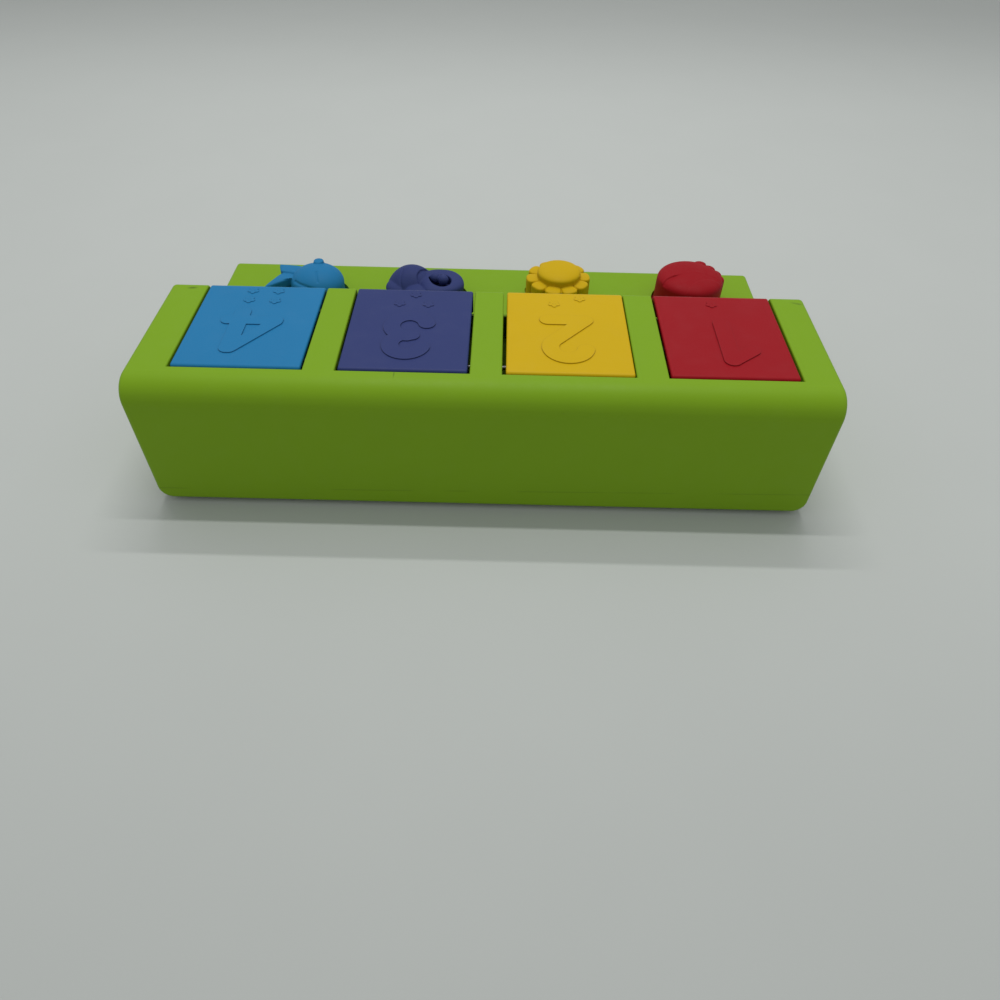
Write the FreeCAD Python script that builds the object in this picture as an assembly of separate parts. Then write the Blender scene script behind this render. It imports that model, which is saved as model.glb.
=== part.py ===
"""Pop up toy: a long two-level housing with four sprung figure buttons on its low front ledge.

Each button works a latch lever, and each lever frees one numbered lid on the raised rear box.
Behind every lid sits a little animal that stands up when the lid opens.

Frame: +X to the child's right, +Y away from the child, +Z up, in millimetres.
The origin is on the surface the toy stands on, under the middle of the housing.
"""
import FreeCAD, Part
import math
import os

from FreeCAD import Placement, Rotation, Vector

# ---------------------------------------------------------------- housing, mm
body_length = 300.0
body_depth = 166.0
box_height = 65.4            # raised box above the housing's lower edge
box_depth = 79.9
ledge_height = 28.8          # low ledge above the housing's lower edge
floor_gap = 2.0              # housing's lower edge above the floor
wall = 2.4
rear_top_radius = 10.5
box_front_radius = 3.0
ledge_front_radius = 3.5
ledge_inner_radius = 2.0
end_lower_radius = 6.5
end_edge_radius = 2.2
base_lip = 3.0               # how far the ends turn in under the housing past their rounding
least_radius = 0.4           # smallest radius that an inner corner may have

# ---------------------------------------------------------------- lids
lid_count = 4
opening_end_margin = 16.75   # end face to the edge of the nearest opening, with the row in the middle
opening_spacing = 13.6       # bar of housing between two openings
opening_rear_margin = 14.3   # rear face to the rear edge of an opening
opening_edge_radius = 0.8
row_offset = -0.7            # rows of lids and buttons against the middle of the housing, X
lid_side_gap = 1.0
lid_rear_gap = 0.8
lid_thickness = 2.5
lid_lip_drop = 12.0          # how far a lid wraps down over the front of the box
lid_lip_gap = 1.0
lid_edge_radius = 0.9
lid_rear_radius = 1.5        # rear edge of a lid, along its top
lid_rear_under_radius = 0.5
lid_foot_radius = 1.15       # lower edges of a lid's front lip
lid_play = (0.0, -0.6, 0.0, 0.0)   # where each lid has settled sideways on its pin

# ---------------------------------------------------------------- lid hinge
hinge_setback = 26.1         # rear face to the pin
hinge_drop = 5.7             # box top to the pin
pin_radius = 1.0
pin_clearance = 0.05
ear_radius = 3.0
ear_width = 2.6
bracket_width = 3.0
bracket_radius = 4.6
pin_overhang = 0.4
spring_wire = 0.7            # torsion spring
spring_coil_radius = 2.0
spring_coil_turns = 5.25     # in quarter turns, so that its two legs lie as drawn
spring_coil_pitch = 0.78
spring_lower_leg = 8.0
spring_lid_leg = 13.0
spring_side_gap = 1.2

# ---------------------------------------------------------------- raised digits and rosettes on the lids
digit_relief = 0.45
digit_offset = 6.7           # middle of a lid to the middle of its digit
rosette_relief = 0.25
rosette_petals = 5
rosette_petal_radius = 1.05
rosette_ring_radius = 1.65
rosette_eye_radius = 0.7

# ---------------------------------------------------------------- buttons
button_end_margin = 41.8     # end face to the middle of the nearest figure, with the row in the middle
button_row_inset = 32.3     # front face to the middle of the figures
button_gap = 2.2             # figure to the edge of its hole
button_travel = 6.0
button_wall = 2.2
figure_rim_radius = 0.9
flange_thickness = 2.2
flange_gap = 0.2             # flange under the ledge
flange_end_gap = (10.25, 10.25, 10.25, 5.25)   # flange to midway between two figures
flange_inset = 6.0          # front face to the front edge of the flange
flange_depth = 54.0
flange_corner_radius = 5.0
guide_tube_radius = 6.0
guide_foot_room = 3.1        # guide tube to the base with its button down
guide_post_radius = 4.0
guide_post_reach = 0.4       # how far the post enters the flange with its button down
guide_clearance = 0.3
return_wire = 0.9
return_coil_radius = 7.6
return_coil_turns = 5
spring_seat_gap = 0.1        # each end of an upright spring to its seat

# ---------------------------------------------------------------- latch levers
lever_offset = 19.0          # lever against the middle of its lid, X
lever_thickness = 3.0
lever_pivot_setback = 0.65   # box front to the pivot
lever_pivot_rise = 10.6      # base to the pivot
lever_boss_radius = 4.0
lever_pin_radius = 1.5
lever_tip_reach = 10.0       # how far the tip reaches under the flange
lever_tip_radius = 2.5
lever_tip_gap = 0.3          # tip under the flange
lever_arm_radius = 2.0
lever_arm_gap = 4.55         # upright arm to the front of the catch
lever_elbow_rise = 3.5       # pivot to the foot of the upright arm
lever_nose_height = 4.0
lever_nose_step = 0.3        # top of the nose below the top of the arm
lever_side_gap = 0.4
lever_bracket_width = 2.5
lever_bracket_half_depth = 5.0
catch_reach = 34.0           # pin to the front of the catch
catch_clearance = 0.3
catch_width = 5.0
catch_thickness = 2.6
catch_depth = 14.5           # below the underside of the lid
catch_barb_height = 3.0
catch_barb_depth = 3.0
latch_wire = 0.5
latch_coil_radius = 2.6
latch_coil_turns = 5
latch_spring_reach = 18.0    # pivot to the spring
latch_pad_radius = 3.4
latch_pad_height = 2.0

# ---------------------------------------------------------------- base, tray, feet and screws
base_thickness = 2.6
base_drop = 1.2              # base plate below the housing's lower edge
base_clearance = 0.3
base_corner_radius = 3.0
boss_radius = 4.5
boss_merge = 0.5             # how far a boss runs into the wall beside it
screw_inset = 6.0            # corner screws from the ends of the base plate
screw_pilot_radius = 1.3
screw_shank_radius = 1.25
screw_head_radius = 2.8
screw_head_height = 1.8
screw_head_rounding = 0.8
screw_slot_length = 3.0
screw_slot_width = 0.7
screw_slot_depth = 0.9
screw_length = 9.0
screw_hole_clearance = 0.3
foot_radius = 7.5
foot_inset_x = 22.0
foot_inset_y = 18.0
foot_recess = 0.8
foot_clearance = 0.1
foot_edge_radius = 0.5
pocket_depth = 24.7          # box top to the floor of the pockets
tray_thickness = 2.0
tray_corner_radius = 2.0
tray_gap = 0.4
tray_divider = 2.0
tray_divider_setback = 10.0  # front edge of the tray to the dividers
tray_divider_overrun = 1.0   # dividers past the rear edge of the openings
tray_post_radius = 3.5
tray_post_inset = 5.6        # post centre to the outer face of the wall beside it
slot_side_gap = 0.8
slot_front_room = 2.5
slot_rear_room = 1.5

# ---------------------------------------------------------------- animals
peg_radius = 2.0
peg_length = 1.5
peg_clearance = 0.05
peg_places = (14.0, 28.0)    # from the hinge pin, along the lid

# Lobes on the inside of a lid: (p along X, q from the hinge pin towards the lid's front, radius,
# depth below the lid, height of the dome). The side lobes are repeated on both sides of the middle.
chick_middle = [(0.0, 17.5, 12.0, 15.0, 6.0), (0.0, 33.5, 9.8, 16.0, 5.5), (0.0, 31.6, 2.8, 19.4, 2.2),
                (0.0, 43.4, 2.2, 8.0, 1.4)]
chick_sides = [(10.4, 19.5, 4.2, 11.0, 2.4), (11.8, 14.8, 3.2, 9.5, 1.6), (4.0, 36.6, 1.4, 16.0, 0.8),
               (4.9, 7.6, 3.4, 14.5, 2.4)]
frog_middle = [(0.0, 16.5, 12.0, 14.6, 5.5), (0.0, 30.5, 9.6, 15.9, 5.0)]
frog_sides = [(4.6, 30.3, 9.2, 15.5, 5.0), (7.2, 39.0, 4.3, 13.6, 3.4), (7.2, 39.4, 2.3, 14.6, 0.9),
              (10.8, 11.5, 4.6, 12.2, 3.2), (9.4, 6.4, 3.6, 14.0, 2.2), (6.5, 19.2, 2.8, 16.6, 1.8)]
bear_middle = [(0.0, 16.5, 12.2, 15.0, 6.0), (0.0, 33.0, 10.8, 16.5, 5.5), (0.0, 30.4, 4.8, 19.2, 2.8),
               (0.0, 32.6, 1.9, 20.2, 1.1)]
bear_sides = [(9.2, 41.0, 4.2, 8.5, 2.6), (4.3, 36.8, 1.3, 16.9, 0.8), (10.8, 21.5, 3.8, 13.0, 2.8),
              (12.2, 17.0, 3.4, 11.5, 2.4), (6.6, 7.8, 4.2, 17.0, 3.0)]
elephant_middle = [(0.0, 16.5, 12.2, 15.0, 6.0), (0.0, 33.5, 9.8, 16.5, 5.5), (0.0, 30.4, 3.3, 19.0, 2.2),
                   (0.0, 27.0, 3.0, 19.6, 2.0), (0.2, 23.8, 2.8, 19.8, 1.9), (0.9, 20.8, 2.7, 19.8, 1.9),
                   (2.6, 18.4, 2.6, 19.5, 1.8)]
elephant_sides = [(9.7, 34.8, 5.8, 7.5, 2.2), (4.1, 37.2, 1.3, 16.8, 0.8), (10.8, 21.5, 3.8, 13.0, 2.8),
                  (12.2, 17.0, 3.4, 11.5, 2.4), (6.6, 7.8, 4.2, 17.0, 3.0)]

# ---------------------------------------------------------------- figures on the buttons
# Round lobes: (u along X, v away from the child, radius, height of the top above the ledge, dome).
sunflower_disc = (0.0, -0.8, 11.2, 18.6, 2.6)
sunflower_collar = (0.0, -0.8, 12.4, 13.3, 0.8)
sunflower_ring_radius = 13.0
sunflower_petal = (4.4, 14.2, 1.2)     # radius, height of the top, dome
sunflower_petals = 10
sunflower_first_turn = 3.0
poppy_bowl = (-0.4, -1.2, 16.6, 16.8, 3.0)
poppy_ring_radius = 14.6
poppy_scallop = (3.7, 14.6, 1.4)
poppy_scallops = 5
poppy_first_turn = 160.0
poppy_step = 25.0
pansy_lobes = [(8.2, -1.0, 12.4, 16.8, 4.4), (-8.2, -0.4, 12.2, 13.6, 2.4), (1.0, 8.2, 10.6, 12.6, 2.6),
               (2.0, -9.4, 9.0, 12.2, 2.4)]
bird_lobes = [(-12.0, 1.0, 14.4, 17.8, 6.4), (-10.6, -3.2, 2.9, 20.6, 2.0), (4.2, -4.6, 5.8, 12.6, 1.8),
              (10.2, -1.4, 5.0, 11.8, 1.6), (2.6, 7.4, 5.6, 11.8, 1.6), (9.6, 8.8, 5.0, 11.2, 1.6),
              (3.0, 1.0, 6.2, 11.2, 1.6)]
bird_tail_room = (7.6, 2.4, 12.0)      # more of the hole, round the bird's tail: u, v, radius

# ---------------------------------------------------------------- worked out from the sizes above
half_length = body_length / 2
rear_y = body_depth / 2
front_y = -body_depth / 2
lid_gaps = lid_count - 1
opening_width = (body_length - 2 * opening_end_margin - lid_gaps * opening_spacing) / lid_count
lid_pitch = opening_width + opening_spacing
button_pitch = (body_length - 2 * button_end_margin) / lid_gaps
flange_half_length = [button_pitch / 2 - gap for gap in flange_end_gap]
box_front_y = rear_y - box_depth
body_bottom = floor_gap
box_top = body_bottom + box_height
ledge_top = body_bottom + ledge_height
ledge_under = ledge_top - wall
opening_rear_y = rear_y - opening_rear_margin
axis_y = rear_y - hinge_setback
axis_z = box_top - hinge_drop
lid_width = opening_width - 2 * lid_side_gap
lid_under = box_top - lid_thickness
lid_rear_y = opening_rear_y - lid_rear_gap
digit_centre_y = (box_front_y + lid_rear_y) / 2 + digit_offset
flange_top = ledge_under - flange_gap
flange_under = flange_top - flange_thickness
flange_front = front_y + flange_inset
flange_rear = flange_front + flange_depth
base_bottom = body_bottom - base_drop
base_top = base_bottom + base_thickness
button_row_y = front_y + button_row_inset
guide_y = (flange_front + flange_rear) / 2
guide_foot_z = base_top + button_travel + guide_foot_room
guide_post_top = flange_under - button_travel + guide_post_reach
tray_top = box_top - pocket_depth
tray_under = tray_top - tray_thickness
catch_foot_z = lid_under - catch_depth
catch_front_y = axis_y - catch_reach
lever_pivot_y = box_front_y - lever_pivot_setback
lever_pivot_z = base_top + lever_pivot_rise
lever_tip_y = flange_rear - lever_tip_reach
lever_tip_z = flange_under - lever_tip_gap - lever_tip_radius
lever_arm_y = catch_front_y - lever_arm_gap
lever_elbow_z = lever_pivot_z + lever_elbow_rise
lever_nose_z = catch_foot_z + catch_barb_height + catch_clearance
lever_top_z = lever_nose_z + lever_nose_height
latch_spring_y = lever_pivot_y - latch_spring_reach
sides = (-1, 1)
lids = range(lid_count)
coil_spans_per_turn = 4      # a spring's helix is drawn in quarter turns
side_plane = Rotation(Vector(1, 1, 1), 120)      # x, y and z of a side view become Y, Z and X


def placed(index, pitch):
    """X of one of a row of lid_count places."""
    return (index - (lid_count - 1) / 2) * pitch + row_offset


lid_x = [placed(i, lid_pitch) for i in lids]
button_x = [placed(i, button_pitch) for i in lids]
base_half_length = half_length - end_lower_radius - base_lip
flange_left = [button_x[i] - flange_half_length[i] for i in lids]
flange_right = [button_x[i] + flange_half_length[i] for i in lids]
boss_front_y = front_y + wall + boss_radius - boss_merge
boss_rear_y = rear_y - wall - boss_radius + boss_merge
screw_spots = [((flange_right[i] + flange_left[i + 1]) / 2, boss_front_y) for i in lids[:-1]]
screw_spots += [(side * (base_half_length - screw_inset), boss_rear_y) for side in (-1, 0, 1)]
tray_rows = (box_front_y + tray_post_inset, rear_y - tray_post_inset)
tray_spots = [(row_offset + side * lid_pitch, y) for side in sides for y in tray_rows]


# ---------------------------------------------------------------- small shape helpers
def box(x0, x1, y0, y1, z0, z1):
    return Part.makeBox(x1 - x0, y1 - y0, z1 - z0, Vector(x0, y0, z0))


def rod(x, y, z0, z1, radius):
    """Upright cylinder between two heights."""
    return Part.makeCylinder(radius, z1 - z0, Vector(x, y, z0))


def cross_rod(x0, x1, y, z, radius):
    """Cylinder along X."""
    return Part.makeCylinder(radius, x1 - x0, Vector(x0, y, z), Vector(1, 0, 0))


def joined(shapes):
    """One clean solid from overlapping solids."""
    if len(shapes) == 1:
        return shapes[0]
    return shapes[0].fuse(shapes[1:]).removeSplitter()


def rounded_face(corners):
    """Planar face from corners (point, radius), each corner turned by an arc."""
    edges = []
    starts = []
    ends = []
    count = len(corners)
    for i, (point, radius) in enumerate(corners):
        before = (corners[i - 1][0] - point).normalize()
        after = (corners[(i + 1) % count][0] - point).normalize()
        if radius <= 0:
            starts.append(point)
            ends.append(point)
            continue
        half_turn = before.getAngle(after) / 2
        run = radius / math.tan(half_turn)
        middle = (before + after).normalize()
        centre = point + middle * (radius / math.sin(half_turn))
        start = point + before * run
        end = point + after * run
        starts.append(start)
        ends.append(end)
        edges.append(Part.Arc(start, centre - middle * radius, end).toShape())
    for i in range(count):
        first = ends[i - 1]
        if (starts[i] - first).Length > 1e-6:
            edges.append(Part.LineSegment(first, starts[i]).toShape())
    return Part.Face(Part.Wire(Part.__sortEdges__(edges)))


def side_solid(corners, x0, x1):
    """Solid with a side outline of (y, z, corner radius), running along X."""
    face = rounded_face([(Vector(x0, y, z), radius) for y, z, radius in corners])
    return face.extrude(Vector(x1 - x0, 0, 0))


def plan_solid(corners, z0, z1):
    """Solid with a plan outline of (x, y, corner radius), running up Z."""
    face = rounded_face([(Vector(x, y, z0), radius) for x, y, radius in corners])
    return face.extrude(Vector(0, 0, z1 - z0))


def plate(x0, x1, y0, y1, z0, z1, radius):
    """Flat plate with rounded corners in plan."""
    return plan_solid([(x0, y0, radius), (x1, y0, radius), (x1, y1, radius), (x0, y1, radius)], z0, z1)


def bar(start, end, radius, thickness, to_world):
    """Flat bar with round ends between two points of a plane, as a solid."""
    along = (end - start).normalize()
    across = Vector(-along.y, along.x, 0) * radius
    middle = [Part.LineSegment(start + across, end + across).toShape(),
              Part.Arc(end + across, end + along * radius, end - across).toShape(),
              Part.LineSegment(end - across, start - across).toShape(),
              Part.Arc(start - across, start - along * radius, start + across).toShape()]
    solid = Part.Face(Part.Wire(middle)).extrude(Vector(0, 0, thickness))
    solid.Placement = to_world
    return solid


def ring_stroke(centre, mid_radius, half_width, first, last, thickness, to_world):
    """Bent stroke with round ends, between two angles in degrees."""
    def at(radius, angle):
        turn = math.radians(angle)
        return centre + Vector(math.cos(turn), math.sin(turn), 0) * radius

    def heading(angle):
        turn = math.radians(angle)
        return Vector(-math.sin(turn), math.cos(turn), 0)

    outer = mid_radius + half_width
    inner = mid_radius - half_width
    middle = (first + last) / 2
    past = math.copysign(1.0, last - first)
    cap_start = at(mid_radius, first) - heading(first) * (half_width * past)
    cap_end = at(mid_radius, last) + heading(last) * (half_width * past)
    edges = [Part.Arc(at(outer, first), at(outer, middle), at(outer, last)).toShape(),
             Part.Arc(at(outer, last), cap_end, at(inner, last)).toShape(),
             Part.Arc(at(inner, last), at(inner, middle), at(inner, first)).toShape(),
             Part.Arc(at(inner, first), cap_start, at(outer, first)).toShape()]
    solid = Part.Face(Part.Wire(edges)).extrude(Vector(0, 0, thickness))
    solid.Placement = to_world
    return solid


def bead(x, y, z0, z1, radius, dome):
    """Round post with a domed top that rises by the given height, and a rounded rim."""
    sphere = (radius * radius + dome * dome) / (2 * dome)
    sphere_z = z1 - sphere
    rim_x = radius - figure_rim_radius
    rim_z = sphere_z + math.sqrt((sphere - figure_rim_radius) ** 2 - rim_x * rim_x)
    lean = math.atan2(rim_z - sphere_z, rim_x)

    def at(centre_x, centre_z, reach, angle):
        return Vector(centre_x + reach * math.cos(angle), 0, centre_z + reach * math.sin(angle))

    shoulder = at(rim_x, rim_z, figure_rim_radius, 0.0)
    touch = at(rim_x, rim_z, figure_rim_radius, lean)
    apex = Vector(0, 0, z1)
    edges = [Part.LineSegment(Vector(0, 0, z0), Vector(radius, 0, z0)).toShape(),
             Part.LineSegment(Vector(radius, 0, z0), shoulder).toShape(),
             Part.Arc(shoulder, at(rim_x, rim_z, figure_rim_radius, lean / 2), touch).toShape(),
             Part.Arc(touch, at(0, sphere_z, sphere, (lean + math.pi / 2) / 2), apex).toShape(),
             Part.LineSegment(apex, Vector(0, 0, z0)).toShape()]
    solid = Part.Face(Part.Wire(edges)).revolve(Vector(0, 0, 0), Vector(0, 0, 1), 360)
    solid.translate(Vector(x, y, 0))
    return solid


def coil(place, radius, wire, pitch, turns, first_leg=0.0, last_leg=0.0):
    """Helical spring about Z of its placement, with a straight leg at each end where asked."""
    turn = 2 * math.pi * turns
    heading = Vector(0, 2 * math.pi * radius, pitch).normalize()
    start = Vector(radius, 0, 0) - heading * first_leg
    edges = []
    for k in range(round(turns * coil_spans_per_turn)):
        span = Part.makeHelix(pitch, pitch / coil_spans_per_turn, radius).Edges[0]
        span.Placement = Placement(Vector(0, 0, k * pitch / coil_spans_per_turn),
                                   Rotation(Vector(0, 0, 1), k * 360 / coil_spans_per_turn))
        edges.append(span)
    if first_leg > 0:
        edges.insert(0, Part.LineSegment(start, Vector(radius, 0, 0)).toShape())
    if last_leg > 0:
        end = Vector(radius * math.cos(turn), radius * math.sin(turn), pitch * turns)
        leaving = Rotation(Vector(0, 0, 1), math.degrees(turn)).multVec(heading)
        edges.append(Part.LineSegment(end, end + leaving * last_leg).toShape())
    section = Part.Wire([Part.Circle(start, heading, wire / 2).toShape()])
    solid = Part.Wire(edges).makePipeShell([section], True, True)
    solid.Placement = place
    return solid


# ---------------------------------------------------------------- housing
def housing_outline(inset):
    """Side outline of the housing, moved in by a wall where asked."""
    grow = -inset
    return [(rear_y + grow, body_bottom + inset, 0.0),
            (rear_y + grow, box_top + grow, rear_top_radius + grow),
            (box_front_y - grow, box_top + grow, max(box_front_radius + grow, least_radius)),
            (box_front_y - grow, ledge_top + grow, ledge_inner_radius - grow),
            (front_y - grow, ledge_top + grow, ledge_front_radius + grow),
            (front_y - grow, body_bottom + inset, 0.0)]


def housing_block(inset):
    """Solid housing with rounded ends, moved in by a wall where asked."""
    half = half_length - inset
    solid = side_solid(housing_outline(inset), -half, half)
    low = [edge for edge in solid.Edges if edge.BoundBox.ZMax < body_bottom + inset + 1e-4
           and edge.BoundBox.XLength < 1e-4]
    solid = solid.makeFillet(end_lower_radius - inset, low)
    if inset > 0:
        return solid
    ends = [edge for edge in solid.Edges if is_end_edge(edge)]
    return solid.makeFillet(end_edge_radius, ends)


def is_end_edge(edge):
    """Edges round both end faces and along the lower edges of the front and rear faces."""
    bounds = edge.BoundBox
    on_end = bounds.XLength < 1e-4 and bounds.XMax > 0 and bounds.XMax > half_length - 1e-3
    on_end = on_end or (bounds.XLength < 1e-4 and bounds.XMin < -half_length + 1e-3)
    upright = on_end and bounds.ZMax > body_bottom + end_lower_radius + 1e-3
    on_face = bounds.YLength < 1e-4 and min(abs(bounds.YMin - rear_y), abs(bounds.YMin - front_y)) < 1e-3
    return upright or (on_face and bounds.ZMax < body_bottom + end_lower_radius + 1e-3)


def is_opening_rim(edge):
    """Edges of the lids' openings on the outside of the housing."""
    bounds = edge.BoundBox
    reach = opening_width / 2 + 1e-3
    within = any(lid_x[i] - reach < bounds.XMin and bounds.XMax < lid_x[i] + reach for i in lids)
    upright = bounds.XLength + bounds.YLength < 1e-3
    on_top = not upright and bounds.ZMin > box_top - box_front_radius - 1e-3 and bounds.ZMax > box_top - 1e-3
    notch_foot = box_top - lid_lip_drop - lid_lip_gap
    on_front = bounds.YMax < box_front_y + 1e-3 and bounds.ZMin > notch_foot - 1e-3
    return within and (on_top or on_front)


def hinge_brackets(index):
    """Two plates under the box top that hold one lid's pin."""
    shapes = []
    for side in sides:
        inner = lid_x[index] + side * opening_width / 2
        x0, x1 = sorted((inner, inner + side * bracket_width))
        disc = cross_rod(x0, x1, axis_y, axis_z, bracket_radius)
        web = box(x0, x1, axis_y - bracket_radius, axis_y + bracket_radius, axis_z, box_top - wall / 2)
        shapes.append(disc.fuse(web))
    return shapes


def make_housing():
    shell = housing_block(0.0).cut(housing_block(wall))
    mouth = box(-base_half_length, base_half_length, front_y + wall, rear_y - wall,
                body_bottom - 1, body_bottom + wall + 1)
    shell = shell.cut(mouth)

    cuts = []
    for i in lids:
        x0 = lid_x[i] - opening_width / 2
        x1 = lid_x[i] + opening_width / 2
        cuts.append(box(x0, x1, box_front_y - 1, opening_rear_y, box_top - wall - 1, box_top + 1))
        cuts.append(box(x0, x1, box_front_y - 1, box_front_y + wall + 1,
                        box_top - lid_lip_drop - lid_lip_gap, box_top + 1))
        cuts += [rod(button_x[i] + u, button_row_y + v, ledge_under - 1, ledge_top + 1, radius + button_gap)
                 for u, v, radius in hole_circles(i)]
    shell = shell.cut(cuts)
    shell = shell.makeFillet(opening_edge_radius, [edge for edge in shell.Edges if is_opening_rim(edge)])

    added = []
    for i in lids:
        added += hinge_brackets(i)
    posts = [rod(x, y, base_top, box_top, boss_radius) for x, y in screw_spots]
    posts += [rod(x, y, tray_top, box_top, tray_post_radius) for x, y in tray_spots]
    core = housing_block(wall / 2)
    shell = joined([shell] + added + [post.common(core) for post in posts])

    bore_end = half_length - wall - 1
    bores = [cross_rod(-bore_end, bore_end, axis_y, axis_z, pin_radius + pin_clearance)]
    bores += [rod(x, y, base_top - 1, base_top + screw_length, screw_pilot_radius) for x, y in screw_spots]
    bores += [rod(x, y, tray_top - 1, tray_top + screw_length, screw_pilot_radius) for x, y in tray_spots]
    return shell.cut(bores)


# ---------------------------------------------------------------- lids
def lid_placement(index):
    """Plane on a lid's top: u to the child's right, v away from the child."""
    x = lid_x[index] + lid_play[index]
    return Placement(Vector(x, digit_centre_y, box_top - digit_relief), Rotation())


def digit_one(at):
    thick = 2 * digit_relief
    return [bar(Vector(-0.7, -14.2, 0), Vector(-0.7, 13.4, 0), 3.9, thick, at),
            bar(Vector(-0.9, 13.6, 0), Vector(-10.6, 6.0, 0), 3.5, thick, at)]


def digit_two(at):
    thick = 2 * digit_relief
    return [ring_stroke(Vector(0.2, 6.8, 0), 7.8, 3.8, 170, -38, thick, at),
            bar(Vector(6.3, 2.0, 0), Vector(-7.6, -13.6, 0), 3.8, thick, at),
            bar(Vector(-8.2, -14.4, 0), Vector(8.6, -14.4, 0), 3.8, thick, at)]


def digit_three(at):
    thick = 2 * digit_relief
    return [ring_stroke(Vector(0.2, 7.5, 0), 7.0, 3.8, 165, -88, thick, at),
            ring_stroke(Vector(0.0, -6.8, 0), 7.9, 3.8, 88, -165, thick, at),
            bar(Vector(0.4, 0.7, 0), Vector(-1.8, 0.7, 0), 3.4, thick, at)]


def digit_four(at):
    thick = 2 * digit_relief
    return [bar(Vector(6.2, -14.4, 0), Vector(6.2, 12.8, 0), 3.7, thick, at),
            bar(Vector(-10.0, -8.3, 0), Vector(11.3, -8.3, 0), 3.3, thick, at),
            bar(Vector(5.2, 13.2, 0), Vector(-10.0, -7.4, 0), 3.3, thick, at)]


digits = (digit_one, digit_two, digit_three, digit_four)
# Each lid's rosettes: from the middle of the lid, and from the front of the box.
rosette_places = (((0.9, 8.6),),
                  ((5.3, 11.4), (-6.8, 6.4)),
                  ((6.3, 13.9), (-7.0, 14.1), (-0.6, 6.2)),
                  ((6.0, 13.9), (-6.0, 14.1), (6.0, 5.9), (-6.0, 5.9)))


def rosette(x, y):
    """Little raised flower, one for each thing to count."""
    low = box_top - rosette_relief
    high = box_top + rosette_relief
    shapes = [rod(x, y, low, high, rosette_eye_radius)]
    for k in range(rosette_petals):
        turn = 2 * math.pi * k / rosette_petals + math.pi / 2
        shapes.append(rod(x + rosette_ring_radius * math.cos(turn), y + rosette_ring_radius * math.sin(turn),
                          low, high, rosette_petal_radius))
    return shapes


def catch_solid(x):
    """Tab under the lid, with a barb that the lever's nose stands over."""
    x0 = x - catch_width / 2
    x1 = x + catch_width / 2
    tab_y = catch_front_y + catch_barb_depth
    tab = box(x0, x1, tab_y, tab_y + catch_thickness, catch_foot_z, lid_under + lid_thickness / 2)
    barb = box(x0, x1, catch_front_y - 1, tab_y + catch_thickness / 2, catch_foot_z,
               catch_foot_z + catch_barb_height)
    barb = barb.common(cross_rod(x - catch_width, x + catch_width, axis_y, axis_z, catch_reach))
    return tab.fuse(barb)


def spring_side_x(index):
    """Inner face of the hinge bracket beside a lid's torsion spring."""
    return lid_x[index] - opening_width / 2


def ear_spans(index):
    """X spans of a lid's two hinge ears; the left one leaves room for the spring."""
    centre = lid_x[index] + lid_play[index]
    spring_room = spring_coil_pitch * (spring_coil_turns + 1) + 2 * spring_side_gap
    left = spring_side_x(index) + spring_room
    right = centre + lid_width / 2
    return ((left, left + ear_width), (right - ear_width, right))


def is_lid_rim(edge):
    """Outer edges of a lid's two ends, from the rear edge of its top to the foot of its lip."""
    bounds = edge.BoundBox
    on_lip = bounds.YMax < box_front_y + 1e-3
    rounding = max(box_front_radius, lid_rear_radius)
    on_top = bounds.ZMin > box_top - rounding - 1e-3 and bounds.ZMax > box_top - 1e-3
    return bounds.XLength < 1e-6 and (on_lip or on_top)


def make_lid(index):
    x = lid_x[index] + lid_play[index]
    x0 = x - lid_width / 2
    x1 = x + lid_width / 2
    lip_foot = box_top - lid_lip_drop
    inner_radius = max(box_front_radius - lid_thickness, least_radius)
    corners = [(lid_rear_y, lid_under, lid_rear_under_radius), (lid_rear_y, box_top, lid_rear_radius),
               (box_front_y, box_top, box_front_radius), (box_front_y, lip_foot, lid_foot_radius),
               (box_front_y + lid_thickness, lip_foot, lid_foot_radius),
               (box_front_y + lid_thickness, lid_under, inner_radius)]
    shell = side_solid(corners, x0, x1)
    shell = shell.makeFillet(lid_edge_radius, [edge for edge in shell.Edges if is_lid_rim(edge)])

    added = [catch_solid(lid_x[index] + lever_offset)]
    for ear0, ear1 in ear_spans(index):
        disc = cross_rod(ear0, ear1, axis_y, axis_z, ear_radius)
        web = box(ear0, ear1, axis_y - ear_radius, axis_y + ear_radius, axis_z, lid_under + lid_thickness / 2)
        added.append(disc.fuse(web))
    added += digits[index](lid_placement(index))
    for u, v in rosette_places[index]:
        added += rosette(x + u, box_front_y + v)
    solid = joined([shell] + added)
    holes = [cross_rod(x0 - 1, x1 + 1, axis_y, axis_z, pin_radius + pin_clearance)]
    holes += [rod(x, axis_y - place, lid_under - 1, lid_under + peg_length + peg_clearance,
                  peg_radius + peg_clearance) for place in peg_places]
    return solid.cut(holes)


def make_hinge_pin(index):
    reach = opening_width / 2 + bracket_width + pin_overhang
    return cross_rod(lid_x[index] - reach, lid_x[index] + reach, axis_y, axis_z, pin_radius)


def make_torsion_spring(index):
    """Coil round the pin, with one leg under the lid and one down beside the bracket."""
    place = Placement(Vector(spring_side_x(index) + spring_side_gap, axis_y, axis_z), side_plane)
    return coil(place, spring_coil_radius, spring_wire, spring_coil_pitch, spring_coil_turns,
                spring_lower_leg, spring_lid_leg)


# ---------------------------------------------------------------- buttons
def lobe_ring(middle, ring, lobe, first_turn, step, count):
    """Equal lobes (radius, top, dome) spaced round a circle, with angles in degrees."""
    turns = [math.radians(first_turn + step * k) for k in range(count)]
    return [(middle[0] + ring * math.cos(turn), middle[1] + ring * math.sin(turn)) + lobe for turn in turns]


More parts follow.
